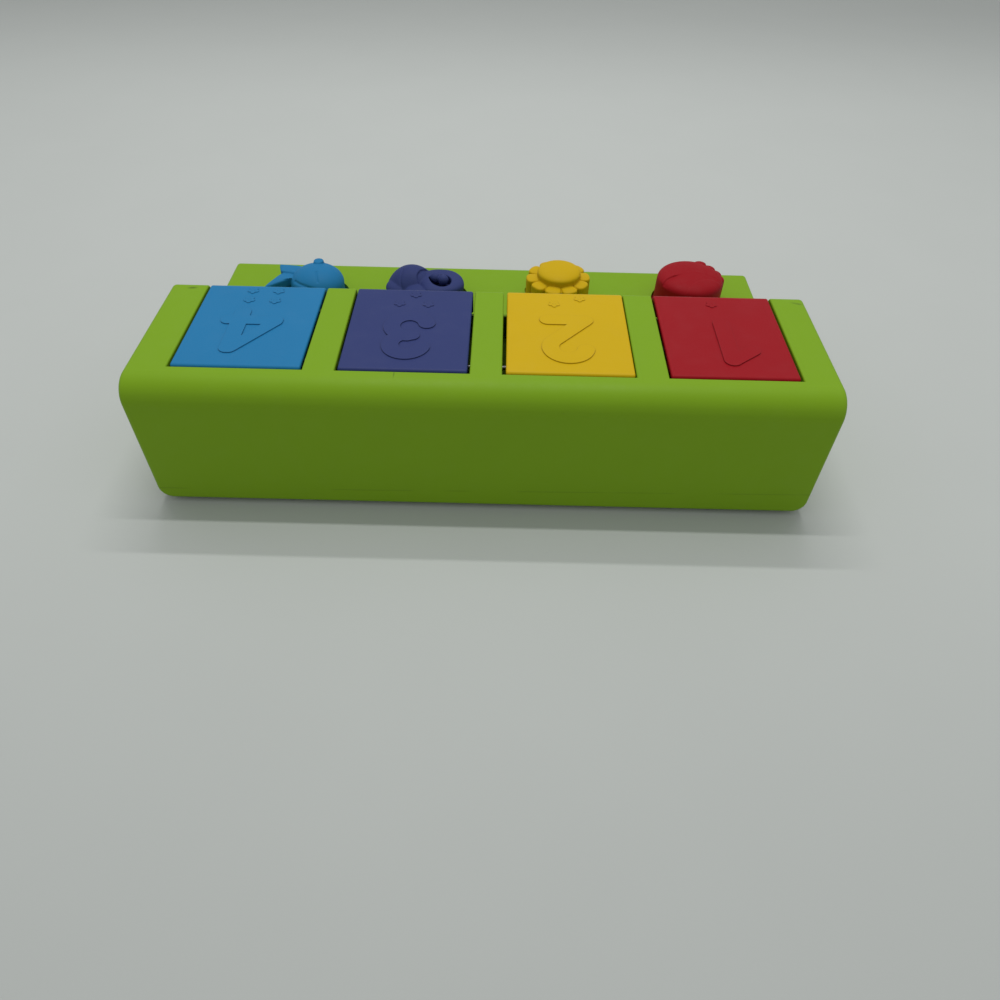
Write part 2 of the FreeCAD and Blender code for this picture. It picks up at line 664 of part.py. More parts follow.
petal_step = 360 / sunflower_petals
sunflower_lobes = [sunflower_disc, sunflower_collar]
sunflower_lobes += lobe_ring(sunflower_disc, sunflower_ring_radius, sunflower_petal,
                             sunflower_first_turn, petal_step, sunflower_petals)
poppy_lobes = [poppy_bowl]
poppy_lobes += lobe_ring(poppy_bowl, poppy_ring_radius, poppy_scallop, poppy_first_turn, poppy_step,
                         poppy_scallops)
figure_lobes = (poppy_lobes, sunflower_lobes, pansy_lobes, bird_lobes)
hole_extras = ((), (), (), (bird_tail_room,))


def hole_circles(index):
    """Circles whose union, with the gap round each, is the hole for one figure."""
    return [(u, v, radius) for u, v, radius, top, dome in figure_lobes[index]] + list(hole_extras[index])


def make_button(index):
    x = button_x[index]
    lobes = figure_lobes[index]
    figure = joined([bead(x + u, button_row_y + v, flange_under, ledge_top + top, radius, dome)
                     for u, v, radius, top, dome in lobes])
    half = flange_half_length[index]
    flange = plate(x - half, x + half, flange_front, flange_rear, flange_under, flange_top,
                   flange_corner_radius)
    hollow = joined([rod(x + u, button_row_y + v, flange_under - 1, ledge_top + top - dome - button_wall,
                         radius - button_wall)
                     for u, v, radius, top, dome in lobes if radius > 2 * button_wall])
    core = rod(x, guide_y, flange_under, box_top, guide_tube_radius).common(figure)
    tube = rod(x, guide_y, guide_foot_z, flange_top, guide_tube_radius)
    bore = rod(x, guide_y, guide_foot_z - 1, ledge_under, guide_post_radius + guide_clearance)
    return joined([figure.fuse(flange).cut(hollow), core, tube]).cut(bore)


def upright_spring(x, y, top, radius, wire, turns):
    """Open coil that stands on the base and ends just under a height."""
    height = top - base_top - wire - 2 * spring_seat_gap
    place = Placement(Vector(x, y, base_top + wire / 2 + spring_seat_gap), Rotation())
    return coil(place, radius, wire, height / turns, turns)


def make_button_spring(index):
    return upright_spring(button_x[index], guide_y, flange_under, return_coil_radius, return_wire,
                          return_coil_turns)


# ---------------------------------------------------------------- latch levers
def side_bar(x0, y0, z0, y1, z1, radius, thickness):
    """Flat bar in a side plane, lying along X from x0."""
    place = Placement(Vector(x0, 0, 0), side_plane)
    return bar(Vector(y0, z0, 0), Vector(y1, z1, 0), radius, thickness, place)


def make_latch(index):
    centre = lid_x[index] + lever_offset
    x0 = centre - lever_thickness / 2
    x1 = centre + lever_thickness / 2
    shapes = [cross_rod(x0, x1, lever_pivot_y, lever_pivot_z, lever_boss_radius),
              side_bar(x0, lever_pivot_y, lever_pivot_z, lever_tip_y, lever_tip_z, lever_tip_radius,
                       lever_thickness),
              side_bar(x0, lever_pivot_y, lever_pivot_z, lever_arm_y, lever_elbow_z, lever_arm_radius,
                       lever_thickness),
              side_bar(x0, lever_arm_y, lever_elbow_z, lever_arm_y, lever_top_z - lever_arm_radius,
                       lever_arm_radius, lever_thickness)]
    nose = box(x0, x1, lever_arm_y, catch_front_y + 2 * catch_barb_depth, lever_nose_z,
               lever_top_z - lever_nose_step)
    nose = nose.cut(cross_rod(x0 - 1, x1 + 1, axis_y, axis_z, catch_reach + catch_clearance))
    shapes.append(nose)
    pad_z = latch_pad_under()
    shapes.append(rod(centre, latch_spring_y, pad_z, pad_z + latch_pad_height, latch_pad_radius))
    bore = cross_rod(x0 - 1, x1 + 1, lever_pivot_y, lever_pivot_z, lever_pin_radius + pin_clearance)
    return joined(shapes).cut(bore)


def latch_pad_under():
    """Height of the spring pad's underside on a lever's front arm."""
    share = latch_spring_reach / (lever_pivot_y - lever_tip_y)
    return lever_pivot_z + share * (lever_tip_z - lever_pivot_z) - lever_tip_radius


def lever_bracket_spans(index):
    centre = lid_x[index] + lever_offset
    reach = lever_thickness / 2 + lever_side_gap
    return ((centre - reach - lever_bracket_width, centre - reach),
            (centre + reach, centre + reach + lever_bracket_width))


def make_latch_pin(index):
    spans = lever_bracket_spans(index)
    return cross_rod(spans[0][0] - pin_overhang, spans[1][1] + pin_overhang, lever_pivot_y, lever_pivot_z,
                     lever_pin_radius)


def make_latch_spring(index):
    return upright_spring(lid_x[index] + lever_offset, latch_spring_y, latch_pad_under(), latch_coil_radius,
                          latch_wire, latch_coil_turns)


# ---------------------------------------------------------------- base plate, tray, screws and feet
def screw_solid(x, y, head_z):
    """Pan head screw that points up, with a cross recess in its head."""
    face_z = head_z - screw_head_height
    head = rod(x, y, face_z, head_z, screw_head_radius)
    rim = [edge for edge in head.Edges if abs(edge.BoundBox.ZMax - face_z) < 1e-6]
    head = head.makeFillet(screw_head_rounding, rim)
    shank = rod(x, y, head_z, head_z + screw_length, screw_shank_radius)
    long = screw_slot_length / 2
    short = screw_slot_width / 2
    slots = [box(x - a, x + a, y - b, y + b, face_z - 1, face_z + screw_slot_depth)
             for a, b in ((long, short), (short, long))]
    return head.fuse(shank).cut(slots)


def foot_spots():
    return [(sx * (half_length - foot_inset_x), sy * (rear_y - foot_inset_y)) for sx in sides for sy in sides]


def make_base_plate():
    half = base_half_length - base_clearance
    half_depth = rear_y - wall - base_clearance
    solid = plate(-half, half, -half_depth, half_depth, base_bottom, base_top, base_corner_radius)
    added = [rod(button_x[i], guide_y, base_top - 1, guide_post_top, guide_post_radius) for i in lids]
    reach = lever_bracket_half_depth
    for i in lids:
        for x0, x1 in lever_bracket_spans(i):
            disc = cross_rod(x0, x1, lever_pivot_y, lever_pivot_z, reach)
            web = box(x0, x1, lever_pivot_y - reach, lever_pivot_y + reach, base_top - 1, lever_pivot_z)
            added.append(disc.fuse(web))
    solid = joined([solid] + added)
    bore_radius = lever_pin_radius + pin_clearance
    cuts = [cross_rod(-half_length, half_length, lever_pivot_y, lever_pivot_z, bore_radius)]
    for x, y in screw_spots:
        cuts.append(rod(x, y, base_bottom - 1, base_top + 1, screw_shank_radius + screw_hole_clearance))
        cuts.append(rod(x, y, base_bottom - 1, base_bottom + screw_head_height, screw_head_radius
                        + screw_hole_clearance))
    cuts += [rod(x, y, base_bottom - 1, base_bottom + foot_recess, foot_radius + foot_clearance)
             for x, y in foot_spots()]
    return solid.cut(cuts)


def make_base_screws():
    return Part.makeCompound([screw_solid(x, y, base_bottom + screw_head_height) for x, y in screw_spots])


def make_feet():
    feet = []
    for x, y in foot_spots():
        foot = rod(x, y, 0.0, base_bottom + foot_recess, foot_radius)
        rim = [edge for edge in foot.Edges if edge.BoundBox.ZMax < 1e-6]
        feet.append(foot.makeFillet(foot_edge_radius, rim))
    return Part.makeCompound(feet)


def make_tray():
    """Floor and dividers of the four pockets that the animals lie in."""
    x1 = half_length - wall - tray_gap
    y0 = box_front_y + wall + tray_gap
    y1 = rear_y - wall - tray_gap
    solid = plate(-x1, x1, y0, y1, tray_under, tray_top, tray_corner_radius)
    walls = []
    for k in range(1, lid_count):
        x = placed(k, lid_pitch) - lid_pitch / 2
        walls.append(box(x - tray_divider / 2, x + tray_divider / 2, y0 + tray_divider_setback,
                         opening_rear_y + tray_divider_overrun, tray_top - 1, box_top - wall - tray_gap))
    solid = joined([solid] + walls)
    cuts = []
    for i in lids:
        x = lid_x[i] + lever_offset
        half = lever_thickness / 2 + slot_side_gap
        front = lever_arm_y - lever_arm_radius - lever_swing(tray_top) - slot_front_room
        cuts.append(box(x - half, x + half, front, lever_arm_y + lever_arm_radius + slot_rear_room,
                        tray_under - 1, tray_top + 1))
    for x, y in tray_spots:
        cuts.append(rod(x, y, tray_under - 1, tray_top + 1, screw_shank_radius + screw_hole_clearance))
    for x, y in screw_spots:
        if y > y0:
            cuts.append(rod(x, y, tray_under - 1, tray_top + 1, boss_radius + tray_gap))
    return solid.cut(cuts)


def lever_swing(z):
    """How far the lever's upright arm moves forward at a height when its button is down."""
    return (z - lever_pivot_z) * button_travel / (lever_pivot_y - lever_tip_y)


def make_tray_screws():
    return Part.makeCompound([screw_solid(x, y, tray_under) for x, y in tray_spots])


# ---------------------------------------------------------------- animals
def mirrored(lobes):
    """The given lobes on both sides of the middle."""
    return [(side * p, q, radius, depth, dome) for p, q, radius, depth, dome in lobes for side in sides]


def make_animal(index):
    x = lid_x[index] + lid_play[index]
    shapes = []
    for p, q, radius, depth, dome in animals[index][1]:
        lobe = bead(0, 0, 0, depth, radius, dome)
        lobe.Placement = Placement(Vector(x + p, axis_y - q, lid_under), Rotation(Vector(1, 0, 0), 180))
        shapes.append(lobe)
    shapes += [rod(x, axis_y - place, lid_under - 1, lid_under + peg_length, peg_radius)
               for place in peg_places]
    return joined(shapes)


animals = (("chick", chick_middle + mirrored(chick_sides)), ("frog", frog_middle + mirrored(frog_sides)),
           ("bear", bear_middle + mirrored(bear_sides)),
           ("elephant", elephant_middle + mirrored(elephant_sides)))


# ---------------------------------------------------------------- write every piece
def all_pieces():
    pieces = {"housing": make_housing(), "base_plate": make_base_plate(), "base_screws": make_base_screws(),
              "feet": make_feet(), "pocket_tray": make_tray(), "tray_screws": make_tray_screws()}
    for i in lids:
        number = i + 1
        pieces[f"lid_{number}"] = make_lid(i)
        pieces[f"hinge_pin_{number}"] = make_hinge_pin(i)
        pieces[f"lid_spring_{number}"] = make_torsion_spring(i)
        pieces[f"button_{number}"] = make_button(i)
        pieces[f"button_spring_{number}"] = make_button_spring(i)
        pieces[f"latch_{number}"] = make_latch(i)
        pieces[f"latch_pin_{number}"] = make_latch_pin(i)
        pieces[f"latch_spring_{number}"] = make_latch_spring(i)
        pieces[f"{animals[i][0]}_{number}"] = make_animal(i)
    return pieces


def main():
    os.makedirs("parts", exist_ok=True)
    for name, shape in all_pieces().items():
        shape.exportStep(f"parts/{name}.step")
        print(name, "valid" if shape.isValid() else "NOT VALID", len(shape.Solids), round(shape.Volume, 1))


main()
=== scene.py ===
"""Pop up toy: finishes for the frame's own pieces, and modelled button figures and animals."""
import math

import bmesh
import bpy
import numpy as np
from mathutils import Matrix, Vector


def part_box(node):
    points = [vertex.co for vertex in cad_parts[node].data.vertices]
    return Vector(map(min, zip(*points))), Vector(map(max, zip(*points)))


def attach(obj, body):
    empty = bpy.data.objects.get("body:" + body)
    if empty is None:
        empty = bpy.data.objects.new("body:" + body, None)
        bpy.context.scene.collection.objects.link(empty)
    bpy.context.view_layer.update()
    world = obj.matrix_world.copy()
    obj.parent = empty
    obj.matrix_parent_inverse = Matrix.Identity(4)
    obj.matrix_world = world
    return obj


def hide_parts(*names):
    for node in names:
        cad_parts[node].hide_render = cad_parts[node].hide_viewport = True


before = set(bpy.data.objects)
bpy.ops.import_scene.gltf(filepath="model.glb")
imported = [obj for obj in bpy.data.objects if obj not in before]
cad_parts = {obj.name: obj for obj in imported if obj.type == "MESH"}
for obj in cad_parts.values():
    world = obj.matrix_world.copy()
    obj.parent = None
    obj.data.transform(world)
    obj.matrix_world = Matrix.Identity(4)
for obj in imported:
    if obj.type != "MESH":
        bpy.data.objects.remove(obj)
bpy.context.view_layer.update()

MM = 0.001

# ---------------------------------------------------------------- sizes shared with the frame, mm
LID_THICKNESS = 2.5
DIGIT_RELIEF = 0.45
LEDGE_HEIGHT = 28.8          # ledge above the housing's lower edge
FIGURE_SETBACK = 0.7         # middle of a figure in front of the middle of its flange
FLANGE_THICKNESS = 2.2
FLANGE_UNDER_LEDGE = 2.6     # ledge top to the top of a flange
FLANGE_CORNER = 5.0
TUBE_RADIUS = 6.0
POST_CLEARANCE_RADIUS = 4.3
BORE_DEPTH = 0.6             # underside of a flange to the figure, over the guide post

# ---------------------------------------------------------------- names of the pieces
NUMBERS = (1, 2, 3, 4)
COLOURS = ("red", "yellow", "purple", "blue")
FIGURE_NAMES = ("poppy", "sunflower", "pansy", "bird")
ANIMALS = ("chick", "frog", "bear", "elephant")
ANIMAL_SLOTS = ("chick_yellow", "frog_green", "bear_brown", "elephant_grey")

# ---------------------------------------------------------------- how finely the meshes are made
FIGURE_VOXEL = 0.3           # mm
ANIMAL_VOXEL = 0.35
FIGURE_RELAX, BALLS_RELAX, ANIMAL_RELAX = 3, 1, 4
SHARP_ANGLE = 40             # degrees; sharper edges of the figures' flanges stay sharp

# ---------------------------------------------------------------- colours, sRGB 0..255, and gloss
SHINE = 0.12                 # specular level of the satin plastics
GREEN = (120, 158, 27)
INNER_GREEN = (100, 134, 28)
LID_COLOURS = {
    "red": (149, 8, 23),
    "yellow": (200, 164, 3),
    "purple": (48, 58, 109),
    "blue": (32, 116, 167),
}
FIGURE_SHADE = 0.98          # the figures are a little darker than the lids
FIGURE_ROUGHNESS = 0.62
ACETAL = (222, 222, 214)
GRIME = (52, 74, 26)
RUBBER, RUBBER_DUST = (52, 53, 55), (104, 102, 98)
PIN_STEEL, SPRING_STEEL, ZINC = (118, 118, 116), (150, 152, 156), (186, 188, 186)
FLOOR_PAPER = (188, 191, 189)
UNDER_PAINT = (128, 128, 128)
DARK = (0, 0, 0, 1)          # linear colours that a tone is mixed with
LIGHT = (1, 1, 1, 1)
PAINT_LAYER = "paint"

# ---------------------------------------------------------------- shares of another tone in a plastic, painted shade and highlight among them
MOTTLE = 0.03                # deeper and paler clouds
EDGE_WEAR_AND_HIGHLIGHT = 0.2              # paler on edges: wear, and a painted highlight
GAP_SHADE = 0.45              # painted shade, deeper, in gaps that are narrower than GAP_WIDTH in mm
GAP_WIDTH = 2.5
DIGIT_SHADE = 0.55           # darker, painted shade on the rims of the numbers on the lids and at their feet

# ---------------------------------------------------------------- marks on the housing, mm
SMEARS = (                   # middle, length, width, turn in degrees
    ((-145.6, 9.0, 67.4), 3.6, 1.1, -18),
    ((139.4, 7.8, 67.4), 3.4, 1.2, 6),
    ((37.4, 70.8, 66.0), 0.4, 3.6, 0),
)
SMEAR_SHARE = 0.6
MOULD_LINE_HEIGHT = 11.6     # at the middle of the rear face
MOULD_LINE_SLOPE = -0.018
MOULD_LINE_SHARE = 0.22
REAR_FACE = (82.0, 82.9)     # the line fades in over these places along Y

# ---------------------------------------------------------------- stage, in metres if not noted
FLOOR_HALF = 3.0
FAR_FLOOR = (-0.40, -0.85)   # painted shade: the floor darkens over these places along Y, away from the camera
FAR_SHADE = 0.20
NEAR_FLOOR = (0.06, 0.32)    # and painted shade over these, towards it
NEAR_SHADES = (0.02, 0.11)
ROOM_COLOUR = (0.97, 1.0, 0.99, 1.0)
ROOM_STRENGTH = 0.52
STRIP_PLACES = (("near_strip", -0.152), ("far_strip", -0.521))
STRIP_HEIGHT = 1.2
STRIP_SIZE = (0.75, 0.03)
STRIP_POWER = 4.2
STRIP_COLOUR = (1.0, 1.0, 0.98)
STRIP_TARGET = (0.0, 0.05, 0.0)
CAMERA_TURNS = (0.1795, 46.484, -1.488)          # yaw, pitch and roll in degrees
CAMERA_PLACE = (-7.219, 322.248, 258.070)        # mm
SENSOR_WIDTH, LENS = 36.0, 27.036                # mm
CLIP_START = 0.01


# ---------------------------------------------------------------- node materials
def linear(colour):
    """sRGB 0..255 to the linear colour that a shader takes."""
    def one(c):
        c /= 255
        return c / 12.92 if c <= 0.04045 else ((c + 0.055) / 1.055) ** 2.4
    return tuple(one(c) for c in colour) + (1.0,)


def mixed(a, b, share):
    """Colour a where share is 0, and b where it is 1."""
    return tuple(x + (y - x) * share for x, y in zip(a, b))


class Finish:
    """A node material that starts as a Principled shader, with short calls to add detail."""

    def __init__(self, name, roughness, **sockets):
        self.material = bpy.data.materials.new(name)
        self.material.use_nodes = True
        self.tree = self.material.node_tree
        self.shader = self.tree.nodes["Principled BSDF"]
        self.shader.inputs["Roughness"].default_value = roughness
        for socket, value in sockets.items():
            self.shader.inputs[socket.replace("_", " ")].default_value = value
        self.place = self.tree.nodes.new("ShaderNodeTexCoord").outputs["Object"]
        self.height = None

    def add(self, kind, inputs=(), **settings):
        node = self.tree.nodes.new("ShaderNode" + kind)
        for name, value in settings.items():
            setattr(node, name, value)
        for key, value in dict(inputs).items():
            if hasattr(value, "is_output"):
                self.tree.links.new(value, node.inputs[key])
            else:
                node.inputs[key].default_value = value
        return node

    def noise(self, size, detail=3.0, roughness=0.5, place=None):
        """Noise with features of about the given size in mm, from 0 to 1."""
        node = self.add("TexNoise", {"Vector": place or self.place, "Scale": 1 / (size * MM),
                                     "Detail": detail, "Roughness": roughness})
        return node.outputs["Fac"]

    def stretched(self, x, y, z):
        """Object coordinates scaled along each axis."""
        return self.add("Mapping", {"Vector": self.place, "Scale": (x, y, z)}).outputs["Vector"]

    def ramp(self, value, low, high, out_low=0.0, out_high=1.0):
        """Smooth step from out_low, where the value is low, to out_high, where it is high."""
        inputs = {"Value": value, "From Min": low, "From Max": high, "To Min": out_low, "To Max": out_high}
        return self.add("MapRange", inputs, interpolation_type="SMOOTHSTEP").outputs["Result"]

    def math(self, operation, a, b=0.0):
        return self.add("Math", {0: a, 1: b}, operation=operation).outputs[0]

    def blend(self, share, a, b):
        """Colour a where share is 0, and b where it is 1."""
        node = self.add("Mix", {0: share, 6: a, 7: b}, data_type="RGBA")
        return node.outputs[2]

    def bump(self, height, depth, strength=1.0):
        """Stacks a bump of the given depth in mm."""
        inputs = {"Height": height, "Distance": depth * MM, "Strength": strength}
        if self.height is not None:
            inputs["Normal"] = self.height
        self.height = self.add("Bump", inputs).outputs["Normal"]

    def nearness(self, distance, samples, only_local=False):
        """Ambient occlusion within a distance in mm: 1 in the open, less beside another surface."""
        return self.add("AmbientOcclusion", {"Distance": distance * MM}, samples=samples,
                        only_local=only_local).outputs["AO"]

    def edges(self, radius):
        """1 on edges sharper than the radius in mm, 0 on flat faces."""
        soft = self.add("Bevel", {"Radius": radius * MM}, samples=4).outputs["Normal"]
        flat = self.add("NewGeometry").outputs["Normal"]
        dot = self.add("VectorMath", {0: soft, 1: flat}, operation="DOT_PRODUCT").outputs["Value"]
        return self.ramp(dot, 0.98, 0.75)

    def set(self, socket, value):
        self.tree.links.new(value, self.shader.inputs[socket])

    def done(self):
        if self.height is not None:
            self.set("Normal", self.height)
        return self.material


def moulded(name, colour, roughness=0.46, mottle=MOTTLE, relief_shade=0.0, painted=False):
    """Moulded plastic: faint mottling, satin grain, handled patches, paler edges (wear and a painted
    highlight), painted shade in the gaps.

    relief is the share of painted shade on the rims of the lids' raised shapes, and a little less at
    their feet. A painted piece takes its colour from the paint layer of its mesh.
    """
    f = Finish(name, roughness, Specular_IOR_Level=SHINE)
    base = linear(colour)
    if painted:
        base = f.add("Attribute", attribute_name=PAINT_LAYER).outputs["Color"]
        deep = f.add("HueSaturation", {"Color": base, "Value": 0.8}).outputs["Color"]
        pale = f.add("HueSaturation", {"Color": base, "Value": 1.15, "Saturation": 0.9}).outputs["Color"]
    else:
        deep = mixed(base, DARK, 0.22)
        pale = mixed(base, LIGHT, 0.10)
    cloud = f.noise(size=26, detail=4.0, roughness=0.55)
    tone = f.blend(f.ramp(cloud, 0.35, 0.7, 0.0, mottle * 3), base, deep)
    fleck = f.noise(size=9, detail=2.0)
    tone = f.blend(f.ramp(fleck, 0.45, 0.75, 0.0, mottle), tone, pale)
    # paler edges: partly wear, partly a painted highlight where edges catch light
    patches = f.ramp(f.noise(size=4, detail=3.0), 0.4, 0.65, 0.25, 1.0)
    rubbed = f.math("MULTIPLY", f.edges(0.7), patches)
    tone = f.blend(f.math("MULTIPLY", rubbed, EDGE_WEAR_AND_HIGHLIGHT), tone, pale)
    # painted shade: darker where ambient occlusion finds gaps and corners
    gap = f.nearness(GAP_WIDTH, samples=4)
    tone = f.blend(f.ramp(gap, 0.55, 0.2, 0.0, GAP_SHADE), tone, deep)
    if relief_shade:
        # painted shade at the feet of the raised numbers and on their rims
        foot = f.nearness(0.7, samples=6, only_local=True)
        tone = f.blend(f.ramp(foot, 0.92, 0.62, 0.0, 0.6 * relief_shade), tone, mixed(base, DARK, 0.6))
        height = f.add("SeparateXYZ", {0: f.place}).outputs["Z"]
        lid_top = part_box("lid_1")[1].z - DIGIT_RELIEF * MM
        raised = f.ramp(height, lid_top + 0.1 * MM, lid_top + 0.25 * MM)
        rim = f.math("MULTIPLY", f.edges(0.4), raised)
        tone = f.blend(f.math("MULTIPLY", rim, relief_shade), tone, mixed(base, DARK, 0.45))
    f.set("Base Color", tone)
    handled = f.noise(size=17, detail=3.0, roughness=0.6)
    handled = f.ramp(handled, 0.35, 0.7, roughness - 0.03, roughness + 0.04)
    satin = f.ramp(f.noise(size=0.9, detail=2.0), 0.3, 0.7, -0.03, 0.03)
    f.set("Roughness", f.math("ADD", handled, satin))
    f.bump(f.noise(size=14, detail=1.0), depth=0.03, strength=0.2)
    f.bump(f.noise(size=0.35, detail=2.0, roughness=0.6), depth=0.012)
    return f


def scratches(f):
    """Fine hairlines along the length of the toy."""
    lines = f.noise(size=0.5, detail=2.0, roughness=0.7, place=f.stretched(0.03, 1.0, 1.0))
    f.bump(f.ramp(lines, 0.62, 0.72), depth=0.006, strength=0.5)


def smear(f, centre, length, width, turn):
    """1 on a thin rubbed mark near a point of the row frame (mm) on an upward face, 0 away from it."""
    place = f.add("Mapping", {"Vector": f.place, "Location": tuple(c * MM for c in centre),
                              "Rotation": (0, 0, math.radians(turn)),
                              "Scale": (length * MM, width * MM, 6 * MM)}, vector_type="TEXTURE")
    reach = f.add("VectorMath", {0: place.outputs["Vector"]}, operation="LENGTH").outputs["Value"]
    patches = f.ramp(f.noise(size=2.2, detail=3.0, roughness=0.6), 0.3, 0.6, 0.35, 1.0)
    return f.math("MULTIPLY", f.ramp(reach, 1.0, 0.15), patches)


def mould_line(f):
    """1 on the faint line that runs along the rear face, 0 away from it."""
    place = f.add("SeparateXYZ", {0: f.place}).outputs
    slope = f.math("MULTIPLY", place["X"], MOULD_LINE_SLOPE)
    level = f.math("ADD", slope, MOULD_LINE_HEIGHT * MM)
    away = f.math("ABSOLUTE", f.math("SUBTRACT", place["Z"], level))
    patches = f.ramp(f.noise(size=30, detail=2.0), 0.42, 0.55)
    line = f.math("MULTIPLY", f.ramp(away, 0.45 * MM, 0.1 * MM), patches)
    return f.math("MULTIPLY", line, f.ramp(place["Y"], REAR_FACE[0] * MM, REAR_FACE[1] * MM))


def green_housing():
    f = moulded("green_plastic", GREEN, roughness=0.5, mottle=0.02)
    scratches(f)
    tone = f.shader.inputs["Base Color"].links[0].from_socket
    smears = [smear(f, *mark) for mark in SMEARS]
    grime = smears[0]
    for other in smears[1:]:
        grime = f.math("MAXIMUM", grime, other)
    tone = f.blend(f.math("MULTIPLY", grime, SMEAR_SHARE), tone, linear(GRIME))
    line = mould_line(f)
    tone = f.blend(f.math("MULTIPLY", line, MOULD_LINE_SHARE), tone, linear(GRIME))
    f.set("Base Color", tone)
    f.bump(f.math("MULTIPLY", line, -1.0), depth=0.05, strength=0.5)
    return f.done()


def metal(name, colour, roughness, along=(1.0, 1.0, 1.0)):
    """Drawn or plated steel: fine lines along its length, and duller patches."""
    f = Finish(name, roughness, Metallic=1.0)
    base = linear(colour)
    patch = f.ramp(f.noise(size=3, detail=3.0), 0.4, 0.7)
    f.set("Base Color", f.blend(patch, base, mixed(base, DARK, 0.3)))
    dull = f.noise(size=1.2, detail=3.0)
    f.set("Roughness", f.ramp(dull, 0.3, 0.7, roughness - 0.08, roughness + 0.12))
    f.bump(f.noise(size=0.15, detail=2.0, roughness=0.6, place=f.stretched(*along)), depth=0.01)
    return f.done()


def rubber():
    f = Finish("foot_rubber", roughness=0.8)
    dusty = f.ramp(f.noise(size=2.5, detail=4.0, roughness=0.6), 0.4, 0.7)
    f.set("Base Color", f.blend(f.math("MULTIPLY", dusty, 0.35), linear(RUBBER), linear(RUBBER_DUST)))
    f.set("Roughness", f.ramp(f.noise(size=1.0), 0.3, 0.7, 0.7, 0.9))
    f.bump(f.noise(size=0.25, detail=2.0), depth=0.03)
    return f.done()


# ---------------------------------------------------------------- mesh building, in mm
def at(x, y):
    return Matrix.Translation((x, y, 0.0))


def lathe(bm, profile, place, segments=56, ring=False):
    """Closed solid turned about Z from (radius, height) points, or a ring from a closed loop of them."""
    rows = []
    for radius, height in profile:
        if radius < 1e-9:
            rows.append([bm.verts.new(place @ Vector((0, 0, height)))])
            continue
        row = []
        for k in range(segments):
            turn = 2 * math.pi * k / segments
            x, y = radius * math.cos(turn), radius * math.sin(turn)
            row.append(bm.verts.new(place @ Vector((x, y, height))))
        rows.append(row)
    pairs = list(zip(rows, rows[1:]))
    if ring:
        pairs.append((rows[-1], rows[0]))
    for low, high in pairs:
        for k in range(segments):
            n = (k + 1) % segments
            loop = [low[k % len(low)], low[n % len(low)], high[n % len(high)], high[k % len(high)]]
            corners = []
            for vert in loop:
                if vert not in corners:
                    corners.append(vert)
            bm.faces.new(corners)


def dome_profile(radius, foot, wall, top, power=2.0, foot_radius=None, steps=14):
    """Round post whose rounded top starts at the wall height; a higher power makes the top flatter."""
    points = [(0.0, foot), (foot_radius or radius, foot), (radius, wall)]
    for k in range(1, steps + 1):
        angle = math.pi / 2 * k / steps
        reach = math.cos(angle) ** (2 / power) if k < steps else 0.0
        points.append((radius * reach, wall + (top - wall) * math.sin(angle) ** (2 / power)))
    return points


def plan_outline(corners, smooth=4):
    """Smooth closed plan line through the corners, and its middle."""
    outline = [Vector(p) for p in curve(list(corners[-2:]) + list(corners) + list(corners[:2]), smooth)]
    outline = outline[2 * smooth:-2 * smooth - 1]
    return outline, sum(outline, Vector((0, 0))) / len(outline)


def stack(bm, rows, peak):
    """Closed solid from rings of points, the lowest first, and a point on top."""
    rings = [[bm.verts.new(p) for p in row] for row in rows]
    count = len(rings[0])
    for low, high in zip(rings, rings[1:]):
        for k in range(count):
            bm.faces.new((low[k], low[(k + 1) % count], high[(k + 1) % count], high[k]))
    bm.faces.new(rings[0][::-1])
    top = bm.verts.new(peak)
    for k in range(count):
        bm.faces.new((rings[-1][k], rings[-1][(k + 1) % count], top))


def slab(bm, corners, foot, top, rim, crown=0.0, steps=5):
    """Upright prism on a smooth closed plan outline, with a rounded rim and a slightly raised middle."""
    outline, middle = plan_outline(corners)
    inward = []
    for before, here, after in zip(outline[-1:] + outline[:-1], outline, outline[1:] + outline[:1]):
        along = (after - before).normalized()
        side = Vector((-along.y, along.x))
        inward.append(side if side.dot(middle - here) > 0 else -side)
    levels = [(0.0, foot)]
    for k in range(steps + 1):
        angle = math.pi / 2 * k / steps
        levels.append((rim * (1 - math.cos(angle)), top - rim + rim * math.sin(angle)))
    rows = [[(*(here + side * inset), height) for here, side in zip(outline, inward)]
            for inset, height in levels]
    inner = [here + side * rim for here, side in zip(outline, inward)]
    for share in (0.75, 0.45):
        rows.append([(*(middle + (p - middle) * share), top + crown * (1 - share * share)) for p in inner])
    stack(bm, rows, (*middle, top + crown))


def mound(bm, corners, foot, wall, top, power, foot_share=0.86, steps=14):
    """A dome like dome_profile's on a smooth closed plan outline."""
    outline, middle = plan_outline(corners)
    levels = [(foot_share, foot), (1.0, wall)]
    for k in range(1, steps):
        angle = math.pi / 2 * k / steps
        levels.append((math.cos(angle) ** (2 / power), wall + (top - wall) * math.sin(angle) ** (2 / power)))
    rows = [[(*(middle + (p - middle) * share), height) for p in outline] for share, height in levels]
    stack(bm, rows, (*middle, top))


def blob(bm, centre, radii, turns=(0.0, 0.0, 0.0)):
    """Ellipsoid, turned about X, Y and Z in degrees."""
    place = Matrix.Translation(centre)
    for axis, turn in zip("XYZ", turns):
        place = place @ Matrix.Rotation(math.radians(turn), 4, axis)
    bmesh.ops.create_icosphere(bm, subdivisions=4, radius=1.0, matrix=place @ Matrix.Diagonal((*radii, 1)))


def chain(bm, points, radii, steps=10):
    """Round tapering strand through the points."""
    for (a, ra), (b, rb) in zip(zip(points, radii), zip(points[1:], radii[1:])):
        for k in range(steps + 1):
            share = k / steps
            radius = ra + (rb - ra) * share
            centre = Vector(a).lerp(Vector(b), share)
            bmesh.ops.create_icosphere(bm, subdivisions=3, radius=radius, matrix=Matrix.Translation(centre))


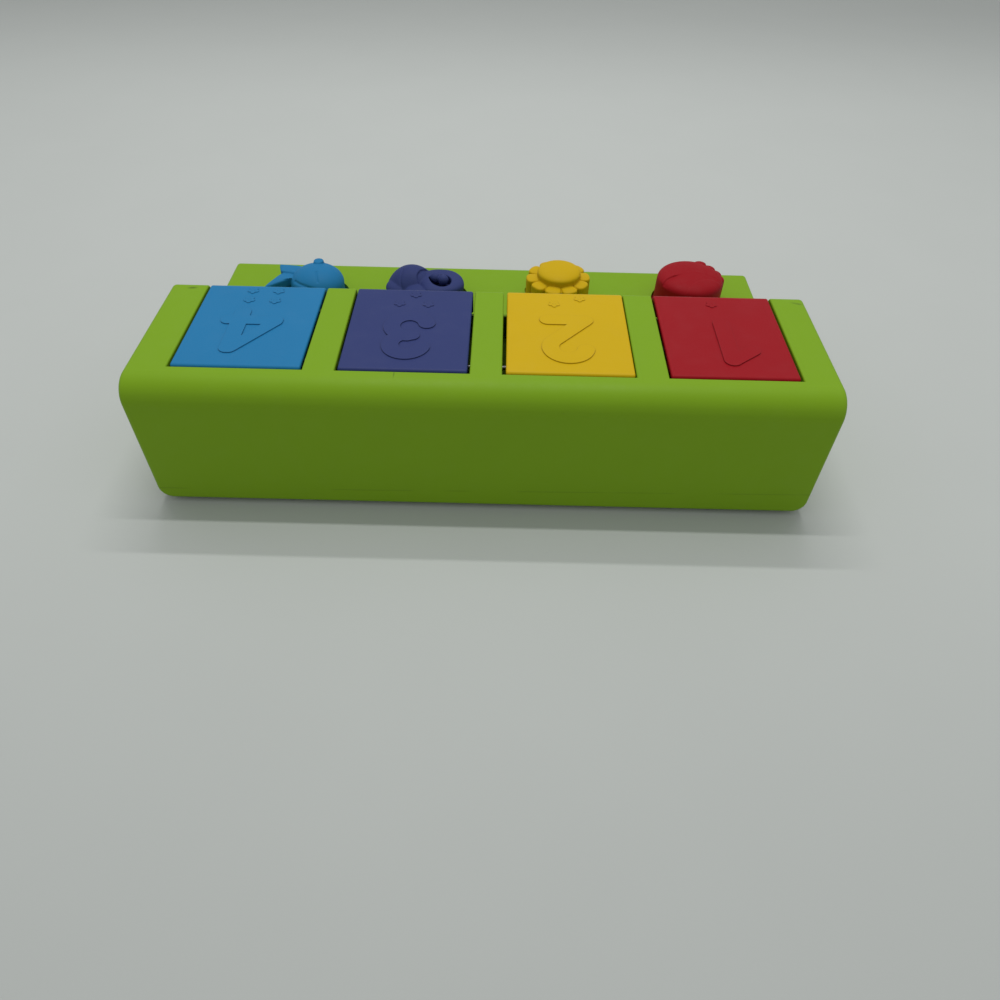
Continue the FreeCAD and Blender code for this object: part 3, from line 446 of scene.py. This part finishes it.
class Sculpt:
    """A remeshed union of simple solids, whose points can then be pressed, raised and painted."""

    def __init__(self, bm, voxel, smooth):
        bmesh.ops.recalc_face_normals(bm, faces=bm.faces)
        mesh = bpy.data.meshes.new("sculpt")
        bm.to_mesh(mesh)
        bm.free()
        source = bpy.data.objects.new("sculpt", mesh)
        bpy.context.scene.collection.objects.link(source)
        remesh = source.modifiers.new("remesh", "REMESH")
        remesh.mode = "VOXEL"
        remesh.voxel_size = voxel
        remesh.use_smooth_shade = True
        relax = source.modifiers.new("relax", "SMOOTH")
        relax.factor = 0.5
        relax.iterations = smooth
        graph = bpy.context.evaluated_depsgraph_get()
        self.mesh = bpy.data.meshes.new_from_object(source.evaluated_get(graph))
        bpy.data.objects.remove(source)
        bpy.data.meshes.remove(mesh)

    def points(self):
        co = np.empty(len(self.mesh.vertices) * 3)
        self.mesh.vertices.foreach_get("co", co)
        return co.reshape(-1, 3)

    def normals(self):
        normals = np.empty(len(self.mesh.vertices) * 3, np.float32)
        self.mesh.vertices.foreach_get("normal", normals)
        return normals.reshape(-1, 3)

    def press(self, amount):
        """Moves each point out along its normal by an amount in mm, given per point."""
        co = self.points() + self.normals() * amount[:, None]
        self.mesh.vertices.foreach_set("co", co.ravel())
        self.mesh.update()

    def groove(self, line, width, depth):
        """Presses a groove along a plan line into the flat faces."""
        away = distance_to_line(self.points()[:, :2], line)
        self.press(-depth * np.exp(-(away / width) ** 2) * upward(np.abs(self.normals()[:, 2])))

    def overlap(self, line, height, fade, soft=0.25):
        """Raises the surface on the left of a plan line, as the edge of a petal that lies over the next."""
        co = self.points()
        away, side = distance_to_line(co[:, :2], line, sided=True)
        step = np.clip(0.5 + side * away / (2 * soft), 0, 1)
        reach = np.exp(-(np.maximum(away, 0) / fade) ** 2)
        self.press(height * (step - 0.5) * reach * upward(self.normals()[:, 2]))

    def hollow(self, line, depth, soft=0.45):
        """Sinks the surface inside a closed plan line."""
        co = self.points()
        away = distance_to_line(co[:, :2], line)
        inner = inside_line(co[:, :2], line)
        share = np.clip(away / soft, 0, 1)
        share = share * share * (3 - 2 * share) * inner * (self.normals()[:, 2] > 0)
        co[:, 2] -= depth * share
        self.mesh.vertices.foreach_set("co", co.ravel())
        self.mesh.update()

    def paint(self, colours):
        layer = self.mesh.attributes.new(PAINT_LAYER, "FLOAT_COLOR", "POINT")
        layer.data.foreach_set("color", np.ascontiguousarray(colours, np.float32).ravel())


def upward(slant):
    """1 where the height of a unit normal is near 1, fading to 0 on walls."""
    return np.clip((slant - 0.25) / 0.3, 0, 1)


def distance_to_line(points, line, sided=False):
    """Distance of plan points to an open line of (x, y) corners.

    If sided, also the side on which they are: 1 is left, -1 is right.
    """
    best = np.full(len(points), 1e9)
    side = np.ones(len(points))
    for a, b in zip(line, line[1:]):
        a, b = np.array(a, float), np.array(b, float)
        offset = points - a
        along = np.clip((offset @ (b - a)) / max((b - a) @ (b - a), 1e-12), 0, 1)
        away = np.linalg.norm(offset - along[:, None] * (b - a), axis=1)
        nearer = away < best
        side[nearer] = np.sign((b - a)[0] * offset[nearer, 1] - (b - a)[1] * offset[nearer, 0])
        best = np.minimum(best, away)
    return (best, side) if sided else best


def inside_line(points, line):
    """1 for plan points inside a closed line, 0 outside it."""
    crossings = np.zeros(len(points), int)
    for (ax, ay), (bx, by) in zip(line, line[1:]):
        across = (ay > points[:, 1]) != (by > points[:, 1])
        if ay != by:
            crossings += across & (points[:, 0] < (bx - ax) * (points[:, 1] - ay) / (by - ay) + ax)
    return crossings % 2


def curve(points, steps=8):
    """Smooth plan line through the points."""
    ends = [points[0]] + list(points) + [points[-1]]
    line = []
    for p0, p1, p2, p3 in zip(ends, ends[1:], ends[2:], ends[3:]):
        for k in range(steps):
            t = k / steps
            line.append(tuple(0.5 * (2 * b + (c - a) * t + (2 * a - 5 * b + 4 * c - d) * t * t
                                     + (3 * b - a - 3 * c + d) * t ** 3)
                              for a, b, c, d in zip(p0, p1, p2, p3)))
    return line + [points[-1]]


def piece(name, mesh, material, body, smooth_angle=None):
    """Puts a finished mesh, in metres in the row frame, on its body."""
    mesh.name = name
    mesh.materials.clear()
    mesh.materials.append(material)
    obj = bpy.data.objects.new(name, mesh)
    bpy.context.scene.collection.objects.link(obj)
    if smooth_angle is None:
        mesh.shade_smooth()
    else:
        mesh.set_sharp_from_angle(angle=math.radians(smooth_angle))
    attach(obj, body)
    return obj


# ---------------------------------------------------------------- the button figures
# Places are in mm from the middle of the figure, and heights are above the ledge.
def polar(radius, turn, u, v):
    """The place at a radius and a turn in degrees about (u, v)."""
    return u + radius * math.cos(math.radians(turn)), v + radius * math.sin(math.radians(turn))


POPPY_LOBES_MIDDLE = (-0.9, -0.9)


def poppy(bm, low):
    lathe(bm, dome_profile(17.9, low, wall=11.4, top=17.4, power=3.0, foot_radius=18.1), at(-0.7, -0.9))
    for turn, top in ((183, 14.7), (199, 15.1), (220, 15.5), (241, 16.2)):
        lobe = dome_profile(4.6, low, wall=11.6, top=top, power=3.2)
        lathe(bm, lobe, at(*polar(14.3, turn, *POPPY_LOBES_MIDDLE)))


def poppy_carving(s):
    s.overlap(curve([(16.4, 7.6), (14.8, 5.9), (12.5, 4.1), (9.8, 2.9)]), height=0.6, fade=3.6)
    s.overlap(curve([(9.8, 2.9), (1.6, -0.4), (-5.6, -0.4), (-12.0, 2.0)]), height=0.08, fade=5.0)
    far_petal = [(-15.6, 6.6), (-9.6, 5.4), (-3.6, 7.4), (1.4, 11.8), (3.4, 15.0)]
    s.overlap(curve(far_petal), height=0.12, fade=5.0)
    for turn in (209.5, 230.5):
        s.groove([polar(radius, turn, *POPPY_LOBES_MIDDLE) for radius in (14.0, 19.0)], width=0.5, depth=0.35)


PETALS = 10
FIRST_PETAL = 5              # degrees
PETAL_STEP = 360 / PETALS
PETALS_MIDDLE = (-0.3, 0.45)
GROOVES_MIDDLE = (-0.3, 0.7)     # of the grooves between the petals
PETAL = [(9.0, -3.3), (13.6, -4.3), (16.2, -3.8), (17.3, -2.0), (17.5, 0.0),
         (17.3, 2.0), (16.2, 3.8), (13.6, 4.3), (9.0, 3.3), (8.0, 0.0)]


def sunflower(bm, low):
    lathe(bm, dome_profile(12.8, low, wall=12.2, top=13.4, power=3.0), at(-0.4, 0.4))
    lathe(bm, dome_profile(11.8, low, wall=16.0, top=19.1, power=2.5), at(-0.6, 0.4))
    u, v = PETALS_MIDDLE
    for k in range(PETALS):
        turn = math.radians(FIRST_PETAL + PETAL_STEP * k)
        c, n = math.cos(turn), math.sin(turn)
        petal = [(x * c - y * n + u, x * n + y * c + v) for x, y in PETAL]
        slab(bm, petal, low, top=13.7, rim=0.9, crown=0.4)


def sunflower_carving(s):
    for k in range(PETALS):
        turn = FIRST_PETAL + PETAL_STEP * (k + 0.5)
        s.groove([polar(radius, turn, *GROOVES_MIDDLE) for radius in (12.0, 15.4)], width=0.4, depth=0.45)


def pansy(bm, low):
    lathe(bm, dome_profile(14.1, low, wall=3.4, top=16.9, power=1.8, foot_radius=13.4), at(8.1, -0.4))
    lathe(bm, dome_profile(7.9, foot=7.0, wall=7.5, top=11.2, power=2.2), at(14.0, 4.8))
    lathe(bm, dome_profile(7.6, foot=7.0, wall=7.8, top=12.1, power=2.6), at(3.6, 13.0))
    lathe(bm, dome_profile(8.8, low, wall=3.0, top=6.4, power=2.4), at(1.6, -9.6))
    for u, v, radius in ((-8.2, -0.4, 12.0), (1.0, 8.2, 10.4)):
        lathe(bm, dome_profile(radius, low, wall=7.6, top=9.6, power=2.6), at(u, v))
    lobe = [(4.5, 5.6), (3.9, -0.4), (1.4, -4.8), (-3.8, -7.0), (-9.4, -7.2), (-14.6, -5.8), (-18.8, -1.8),
            (-20.9, 3.6), (-20.6, 9.2), (-17.4, 13.6), (-12.4, 16.0), (-6.4, 16.8), (-1.4, 15.8), (1.8, 11.4)]
    mound(bm, lobe, foot=7.2, wall=9.0, top=13.6, power=4.2)


def pansy_carving(s):
    s.overlap(curve([(1.6, 11.4), (4.3, 6.4), (3.5, 2.2), (1.0, -2.0)]), height=0.9, fade=3.0)
    s.groove(curve([(12.6, -4.6), (12.8, 2.1), (13.3, 7.4), (11.6, 13.0)]), width=0.5, depth=0.35)
    bowl = [(-1.5, 3.0), (-3.0, 7.4), (-5.2, 10.8), (-9.3, 12.8), (-13.4, 10.8), (-14.2, 5.6), (-11.1, 1.5),
            (-5.6, 1.3), (-1.5, 3.0)]
    s.hollow(curve(bowl), depth=4.6)


def pansy_balls(bm):
    blob(bm, (-5.4, 2.8, 12.7), (2.9, 2.9, 2.6))
    blob(bm, (-9.8, 5.0, 12.6), (2.9, 2.9, 2.8))


def bird(bm, low):
    lathe(bm, dome_profile(14.4, low, wall=7.4, top=16.5, power=2.0, foot_radius=13.8), at(-12.2, 1.8))
    lathe(bm, dome_profile(11.4, low, wall=5.6, top=11.0, power=2.4), at(-9.4, 4.6))
    knob = [(0.0, 10.0), (4.0, 10.0), (3.7, 13.8), (3.1, 14.7), (2.8, 15.6), (2.7, 16.5), (2.4, 16.8),
            (0.0, 16.9)]
    lathe(bm, knob, at(-12.7, -5.2))
    front = [(-3.0, -6.6), (3.5, -8.3), (9.4, -8.7), (10.0, -8.0), (9.0, -4.0), (7.6, -1.4), (3.0, -0.4),
             (-3.0, 1.0)]
    slab(bm, front, low, top=12.1, rim=0.8, crown=0.3)
    fork = [(-3.0, 1.0), (-2.4, 4.4), (0.8, 3.9), (6.4, 7.8), (11.2, 12.0), (13.2, 13.3), (13.8, 12.6),
            (12.8, 9.6), (10.4, 4.2), (8.0, -0.4), (5.0, -1.6), (0.0, -1.6)]
    slab(bm, fork, foot=6.8, top=11.2, rim=0.9, crown=0.3)
    between = [(-4.0, -4.0), (-4.0, 3.0), (2.0, 3.2), (7.0, 6.2), (9.6, 7.4), (9.0, 3.0), (6.6, -2.0),
               (2.0, -4.6)]
    slab(bm, between, low, top=9.4, rim=0.8)


def bird_carving(s):
    s.groove(curve([(-13.4, 5.6), (-13.8, 8.4), (-14.8, 11.8)]), width=0.55, depth=0.4)
    s.groove(curve([(-1.6, 8.6), (-4.6, 11.6), (-9.6, 14.2), (-16.2, 15.6)]), width=0.55, depth=0.5)


# For each figure: its solids, its carving, and what is added after the carving.
FIGURES = (
    (poppy, poppy_carving, None),
    (sunflower, sunflower_carving, None),
    (pansy, pansy_carving, pansy_balls),
    (bird, bird_carving, None),
)


def bored_plate(bm, x0, x1, y0, y1, z0, z1, corner, centre, bore, steps=8, stride=3.0):
    """Flat plate with rounded corners in plan and a round hole through it."""
    corners = []
    for cx, cy, first in ((x1 - corner, y1 - corner, 0), (x0 + corner, y1 - corner, 90),
                          (x0 + corner, y0 + corner, 180), (x1 - corner, y0 + corner, 270)):
        for k in range(steps + 1):
            turn = math.radians(first + 90 * k / steps)
            corners.append(Vector((cx + corner * math.cos(turn), cy + corner * math.sin(turn))))
    outline = []
    for here, after in zip(corners, corners[1:] + corners[:1]):
        parts = max(1, round((after - here).length / stride))
        outline += [here.lerp(after, k / parts) for k in range(parts)]
    middle = Vector(centre)
    hole = [middle + (p - middle).normalized() * bore for p in outline]
    rings = [[bm.verts.new((p.x, p.y, z)) for p in line]
             for line, z in ((outline, z0), (outline, z1), (hole, z1), (hole, z0))]
    for low, high in zip(rings, rings[1:] + rings[:1]):
        for k in range(len(low)):
            n = (k + 1) % len(low)
            bm.faces.new((low[k], low[n], high[n], high[k]))


def make_button(index, material):
    number = NUMBERS[index]
    node = f"button_{number}"
    lowest, highest = (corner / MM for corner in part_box(node))
    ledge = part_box("housing")[0].z / MM + LEDGE_HEIGHT
    middle = (lowest + highest) / 2
    flange_top = -FLANGE_UNDER_LEDGE
    flange_under = flange_top - FLANGE_THICKNESS
    build, carve, extra = FIGURES[index]

    bm = bmesh.new()
    build(bm, flange_under + BORE_DEPTH)
    figure = Sculpt(bm, FIGURE_VOXEL, FIGURE_RELAX)
    carve(figure)
    if extra:
        bm = bmesh.new()
        bm.from_mesh(figure.mesh)
        extra(bm)
        figure = Sculpt(bm, FIGURE_VOXEL, BALLS_RELAX)

    bm = bmesh.new()
    half = (highest.x - lowest.x) / 2
    depth = (highest.y - lowest.y) / 2
    back = FIGURE_SETBACK
    bored_plate(bm, -half, half, back - depth, back + depth, flange_under, flange_top, FLANGE_CORNER,
                (0, back), POST_CLEARANCE_RADIUS)
    foot = lowest.z - ledge
    tube = [(POST_CLEARANCE_RADIUS, foot), (TUBE_RADIUS, foot), (TUBE_RADIUS, flange_under),
            (POST_CLEARANCE_RADIUS, flange_under)]
    lathe(bm, tube, at(0, back), ring=True)
    bmesh.ops.recalc_face_normals(bm, faces=bm.faces)
    bm.from_mesh(figure.mesh)
    to_row = Matrix.Translation((middle.x * MM, (middle.y - back) * MM, ledge * MM)) @ Matrix.Scale(MM, 4)
    bmesh.ops.transform(bm, matrix=to_row, verts=bm.verts)
    mesh = bpy.data.meshes.new(node)
    bm.to_mesh(mesh)
    bm.free()
    name = f"{FIGURE_NAMES[index]}_button_{number}"
    obj = piece(name, mesh, material, node, SHARP_ANGLE)
    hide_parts(node)


# ---------------------------------------------------------------- the animals
# Places are (p, q, r) in mm: along X, from the hinge pin towards the lid's front, and down from the lid.
BLACK = linear((20, 19, 20))
WHITE = linear((238, 236, 228))


def inside(points, centre, radii):
    """True for points inside an ellipsoid."""
    return (((points - np.array(centre)) / np.array(radii)) ** 2).sum(1) < 1


def chick(bm):
    blob(bm, (0, 17.5, 4.0), (12.0, 12.0, 11.0))
    blob(bm, (0, 33.5, 6.5), (9.8, 9.8, 9.6))
    for side in (-1, 1):
        blob(bm, (side * 10.8, 17.5, 5.6), (3.6, 7.2, 5.4), (0, 0, side * 12))
        blob(bm, (side * 4.9, 8.2, 9.6), (3.6, 5.2, 3.4))
        for toe in (-1, 0, 1):
            blob(bm, (side * 4.9 + toe * 2.0, 5.6, 12.4), (1.2, 1.4, 2.6))
    chain(bm, [(0, 41.5, 5.5), (0.4, 44.2, 5.0)], [2.0, 1.2])
    chain(bm, [(-0.8, 41.5, 5.5), (-2.4, 43.6, 5.6)], [1.8, 1.0])
    blob(bm, (0, 31.6, 15.6), (2.9, 2.3, 3.4))


def chick_paint(co):
    yellow, orange, belly = linear((243, 196, 44)), linear((232, 122, 28)), linear((250, 222, 120))
    colours = np.tile(yellow, (len(co), 1))
    colours[inside(co, (0, 16.0, 12.5), (7.8, 8.4, 8.0))] = belly
    colours[inside(co, (0, 31.4, 17.6), (3.3, 2.7, 3.4))] = orange
    for side in (-1, 1):
        colours[inside(co, (side * 4.9, 6.2, 11.4), (4.6, 4.4, 4.4))] = orange
        colours[inside(co, (side * 4.2, 36.4, 14.6), (1.55, 1.7, 2.6))] = BLACK
    return colours


def frog(bm):
    blob(bm, (0, 16.5, 3.6), (12.0, 11.6, 11.0))
    blob(bm, (0, 30.8, 6.0), (13.2, 9.6, 9.8))
    for side in (-1, 1):
        blob(bm, (side * 7.0, 38.6, 8.4), (4.3, 4.3, 4.6))
        blob(bm, (side * 10.4, 11.8, 6.6), (5.0, 6.4, 5.6), (0, 0, side * 28))
        arm = [(side * 8.8, 22.0, 9.0), (side * 8.4, 16.0, 12.4), (side * 6.4, 11.4, 13.6)]
        chain(bm, arm, [2.8, 2.2, 2.0])
        for toe in (-1, 0, 1):
            chain(bm, [(side * 9.4, 8.4, 10.0), (side * 9.4 + toe * 3.0, 5.2, 13.2)], [2.2, 1.5], steps=6)
            chain(bm, [(side * 6.4, 11.4, 13.6), (side * 5.8 + toe * 1.9, 9.2, 14.8)], [1.7, 1.1], steps=6)


def frog_paint(co):
    green, belly, mouth = linear((104, 170, 62)), linear((208, 222, 120)), linear((54, 92, 34))
    colours = np.tile(green, (len(co), 1))
    colours[inside(co, (0, 15.5, 12.5), (7.4, 8.6, 7.0))] = belly
    colours[inside(co, (0, 26.4, 13.6), (9.6, 4.2, 5.6))] = belly
    smile = np.abs(co[:, 1] - 28.6 - 0.030 * co[:, 0] ** 2) < 0.45
    colours[smile & (np.abs(co[:, 0]) < 9.4) & (co[:, 2] > 9)] = mouth
    for side in (-1, 1):
        colours[inside(co, (side * 7.0, 38.8, 11.6), (3.2, 3.2, 3.0))] = WHITE
        colours[inside(co, (side * 6.8, 38.4, 13.0), (1.7, 1.9, 1.8))] = BLACK
    return colours


def bear(bm):
    blob(bm, (0, 16.5, 4.0), (12.2, 12.4, 11.0))
    blob(bm, (0, 33.0, 6.4), (11.0, 10.2, 10.0))
    blob(bm, (0, 30.2, 13.4), (4.9, 3.9, 5.2))
    blob(bm, (0, 32.4, 18.2), (2.0, 1.5, 1.6))
    for side in (-1, 1):
        blob(bm, (side * 8.8, 40.6, 5.0), (4.2, 4.2, 2.8))
        arm = [(side * 10.0, 24.0, 7.0), (side * 12.4, 18.4, 9.0), (side * 10.4, 14.4, 12.6)]
        chain(bm, arm, [3.6, 3.4, 3.2])
        blob(bm, (side * 6.8, 8.4, 10.6), (4.3, 4.3, 6.2))


def bear_paint(co):
    brown, tan = linear((134, 84, 44)), linear((206, 162, 108))
    colours = np.tile(brown, (len(co), 1))
    colours[inside(co, (0, 17.0, 13.5), (7.6, 8.6, 7.0))] = tan
    colours[inside(co, (0, 30.0, 17.0), (5.2, 4.2, 5.2))] = tan
    colours[inside(co, (0, 32.5, 18.8), (2.2, 1.6, 2.0))] = BLACK
    smile = np.abs(co[:, 1] - 28.2 - 0.09 * co[:, 0] ** 2) < 0.35
    colours[smile & (np.abs(co[:, 0]) < 2.8) & (co[:, 2] > 15)] = BLACK
    for side in (-1, 1):
        colours[inside(co, (side * 9.0, 41.0, 8.2), (2.6, 2.6, 2.4))] = tan
        colours[inside(co, (side * 4.4, 36.8, 15.0), (1.35, 1.5, 2.4))] = BLACK
        colours[inside(co, (side * 6.8, 8.0, 17.4), (2.8, 2.6, 2.6))] = tan
    return colours


def elephant(bm):
    blob(bm, (0, 16.5, 4.0), (12.2, 12.2, 11.0))
    blob(bm, (0, 33.8, 6.4), (9.8, 9.6, 9.6))
    trunk = [(0, 31.5, 13.0), (0, 28.0, 16.6), (0.2, 24.0, 17.4), (1.0, 20.8, 16.8), (3.0, 18.4, 16.8)]
    chain(bm, trunk, [4.0, 3.2, 2.8, 2.6, 2.5])
    for side in (-1, 1):
        blob(bm, (side * 9.6, 34.6, 4.0), (6.2, 7.6, 2.4), (0, side * 16, 0))
        leg = [(side * 10.0, 24.0, 7.0), (side * 12.0, 19.0, 9.0), (side * 10.6, 15.2, 12.0)]
        chain(bm, leg, [3.4, 3.4, 3.3])
        blob(bm, (side * 6.8, 8.4, 10.6), (4.4, 4.3, 6.2))


def elephant_paint(co):
    grey, pink = linear((128, 138, 156)), linear((214, 158, 158))
    belly, fold = linear((168, 176, 188)), linear((100, 108, 124))
    colours = np.tile(grey, (len(co), 1))
    colours[inside(co, (0, 16.5, 13.5), (7.4, 8.2, 6.0))] = belly
    ridges = np.abs((co[:, 1] - 20.0) % 2.2 - 1.1) > 0.88
    trunk = (np.abs(co[:, 0] - 0.4) < 4) & (co[:, 1] > 20) & (co[:, 1] < 30) & (co[:, 2] > 17.6)
    colours[ridges & trunk] = fold
    for side in (-1, 1):
        colours[inside(co, (side * 11.6, 34.6, 6.6), (3.6, 5.0, 2.6))] = pink
        colours[inside(co, (side * 4.3, 37.0, 14.8), (1.35, 1.5, 2.4))] = BLACK
        for toe in (-1, 0, 1):
            colours[inside(co, (side * 6.8 + toe * 2.4, 5.6, 15.6), (1.0, 1.2, 1.6))] = WHITE
    return colours


SCULPTED = ((chick, chick_paint), (frog, frog_paint), (bear, bear_paint), (elephant, elephant_paint))


def make_animal(index, material):
    number = NUMBERS[index]
    node = f"{ANIMALS[index]}_{number}"
    body = f"lid_{number}"
    pin_low, pin_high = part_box(f"hinge_pin_{number}")
    lid_low, lid_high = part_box(body)
    pin = (pin_low + pin_high) / 2
    under = lid_high.z - (DIGIT_RELIEF + LID_THICKNESS) * MM

    build, paint = SCULPTED[index]
    bm = bmesh.new()
    build(bm)
    for vert in bm.verts:
        vert.co.z = max(vert.co.z, 0.0)
    sculpt = Sculpt(bm, ANIMAL_VOXEL, ANIMAL_RELAX)
    sculpt.paint(paint(sculpt.points()))
    to_row = Matrix((
        (MM, 0, 0, (lid_low.x + lid_high.x) / 2),
        (0, -MM, 0, pin.y),
        (0, 0, -MM, under),
        (0, 0, 0, 1),
    ))
    sculpt.mesh.transform(to_row)
    name = f"{ANIMALS[index]}_figure_{number}"
    obj = piece(name, sculpt.mesh, material, body)
    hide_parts(node)


# ---------------------------------------------------------------- finishes on the frame's own pieces
def dress(nodes, material):
    for name in nodes:
        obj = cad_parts[name]
        obj.data.materials.clear()
        obj.data.materials.append(material)


def all_numbered(*names):
    return [f"{name}_{number}" for name in names for number in NUMBERS]


def dress_frame():
    dress(["housing"], green_housing())
    inner = moulded("green_plastic_inner", INNER_GREEN, roughness=0.55, mottle=0.05)
    dress(["base_plate", "pocket_tray"], inner.done())
    for number, colour in zip(NUMBERS, COLOURS):
        lid = moulded(f"{colour}_plastic", LID_COLOURS[colour], relief_shade=DIGIT_SHADE)
        dress([f"lid_{number}"], lid.done())
    levers = moulded("white_acetal", ACETAL, roughness=0.38, mottle=0.04)
    dress(all_numbered("latch"), levers.done())
    pins = metal("steel_pin", PIN_STEEL, roughness=0.42, along=(0.02, 1.0, 1.0))
    dress(all_numbered("hinge_pin", "latch_pin"), pins)
    springs = metal("spring_steel", SPRING_STEEL, roughness=0.3)
    dress(all_numbered("lid_spring", "button_spring", "latch_spring"), springs)
    dress(["base_screws", "tray_screws"], metal("zinc_steel", ZINC, roughness=0.34))
    dress(["feet"], rubber())


dress_frame()
for i, colour in enumerate(COLOURS):
    shade = tuple(c * FIGURE_SHADE for c in LID_COLOURS[colour])
    make_button(i, moulded(f"{colour}_figure", shade, roughness=FIGURE_ROUGHNESS).done())
for i, slot_name in enumerate(ANIMAL_SLOTS):
    make_animal(i, moulded(slot_name, UNDER_PAINT, roughness=0.4, mottle=0.05, painted=True).done())


# ---------------------------------------------------------------- floor, light and camera
def make_floor():
    mesh = bpy.data.meshes.new("floor")
    bm = bmesh.new()
    square = ((-1, -1), (1, -1), (1, 1), (-1, 1))
    bm.faces.new([bm.verts.new((x * FLOOR_HALF, y * FLOOR_HALF, 0.0)) for x, y in square])
    bm.to_mesh(mesh)
    bm.free()
    floor = bpy.data.objects.new("floor", mesh)
    bpy.context.scene.collection.objects.link(floor)
    f = Finish("floor_paper", roughness=0.62, Specular_IOR_Level=0.3)
    pale = linear(FLOOR_PAPER)
    fibre = f.ramp(f.noise(size=60, detail=3.0), 0.3, 0.7, 0.0, 0.2)
    tone = f.blend(fibre, pale, mixed(pale, DARK, 0.05))
    # painted shade: the floor darkens along Y, away from the camera and towards it
    depth = f.add("SeparateXYZ", {0: f.place}).outputs["Y"]
    far = f.ramp(depth, *FAR_FLOOR, 0.0, FAR_SHADE)
    near = f.ramp(depth, *NEAR_FLOOR, *NEAR_SHADES)
    f.set("Base Color", f.blend(f.math("ADD", far, near), tone, DARK))
    f.bump(f.noise(size=0.6, detail=2.0), depth=0.01)
    mesh.materials.append(f.done())


def strip_lamp(name, y):
    """A long narrow lamp above the toy, along X."""
    data = bpy.data.lights.new(name, "AREA")
    data.shape = "RECTANGLE"
    data.size, data.size_y = STRIP_SIZE
    data.energy = STRIP_POWER
    data.color = STRIP_COLOUR
    obj = bpy.data.objects.new(name, data)
    place = Vector((0.0, y, STRIP_HEIGHT))
    obj.location = place
    obj.rotation_euler = (Vector(STRIP_TARGET) - place).to_track_quat("-Z", "Y").to_euler()
    bpy.context.scene.collection.objects.link(obj)


def make_light():
    """Even room light, and two strip lamps over the child's side of the toy."""
    world = bpy.data.worlds.new("studio")
    world.use_nodes = True
    back = world.node_tree.nodes["Background"]
    back.inputs["Color"].default_value = ROOM_COLOUR
    back.inputs["Strength"].default_value = ROOM_STRENGTH
    bpy.context.scene.world = world
    for name, y in STRIP_PLACES:
        strip_lamp(name, y)


def make_camera():
    """The camera stands behind the toy, above the middle of its rear face."""
    yaw, pitch, roll = (math.radians(a) for a in CAMERA_TURNS)
    forward = Vector((-math.sin(yaw) * math.cos(pitch), -math.cos(yaw) * math.cos(pitch), -math.sin(pitch)))
    level = Vector((-math.cos(yaw), math.sin(yaw), 0.0))
    down = forward.cross(level)
    right = math.cos(roll) * level + math.sin(roll) * down
    down = math.cos(roll) * down - math.sin(roll) * level
    data = bpy.data.cameras.new("camera")
    data.sensor_width = SENSOR_WIDTH
    data.lens = LENS
    data.clip_start = CLIP_START
    obj = bpy.data.objects.new("camera", data)
    turn = Matrix((right, -down, -forward)).transposed().to_4x4()
    obj.matrix_world = Matrix.Translation(Vector(CAMERA_PLACE) * MM) @ turn
    bpy.context.scene.collection.objects.link(obj)
    bpy.context.scene.camera = obj


make_floor()
make_light()
make_camera()
bpy.context.scene.view_settings.view_transform = "Standard"
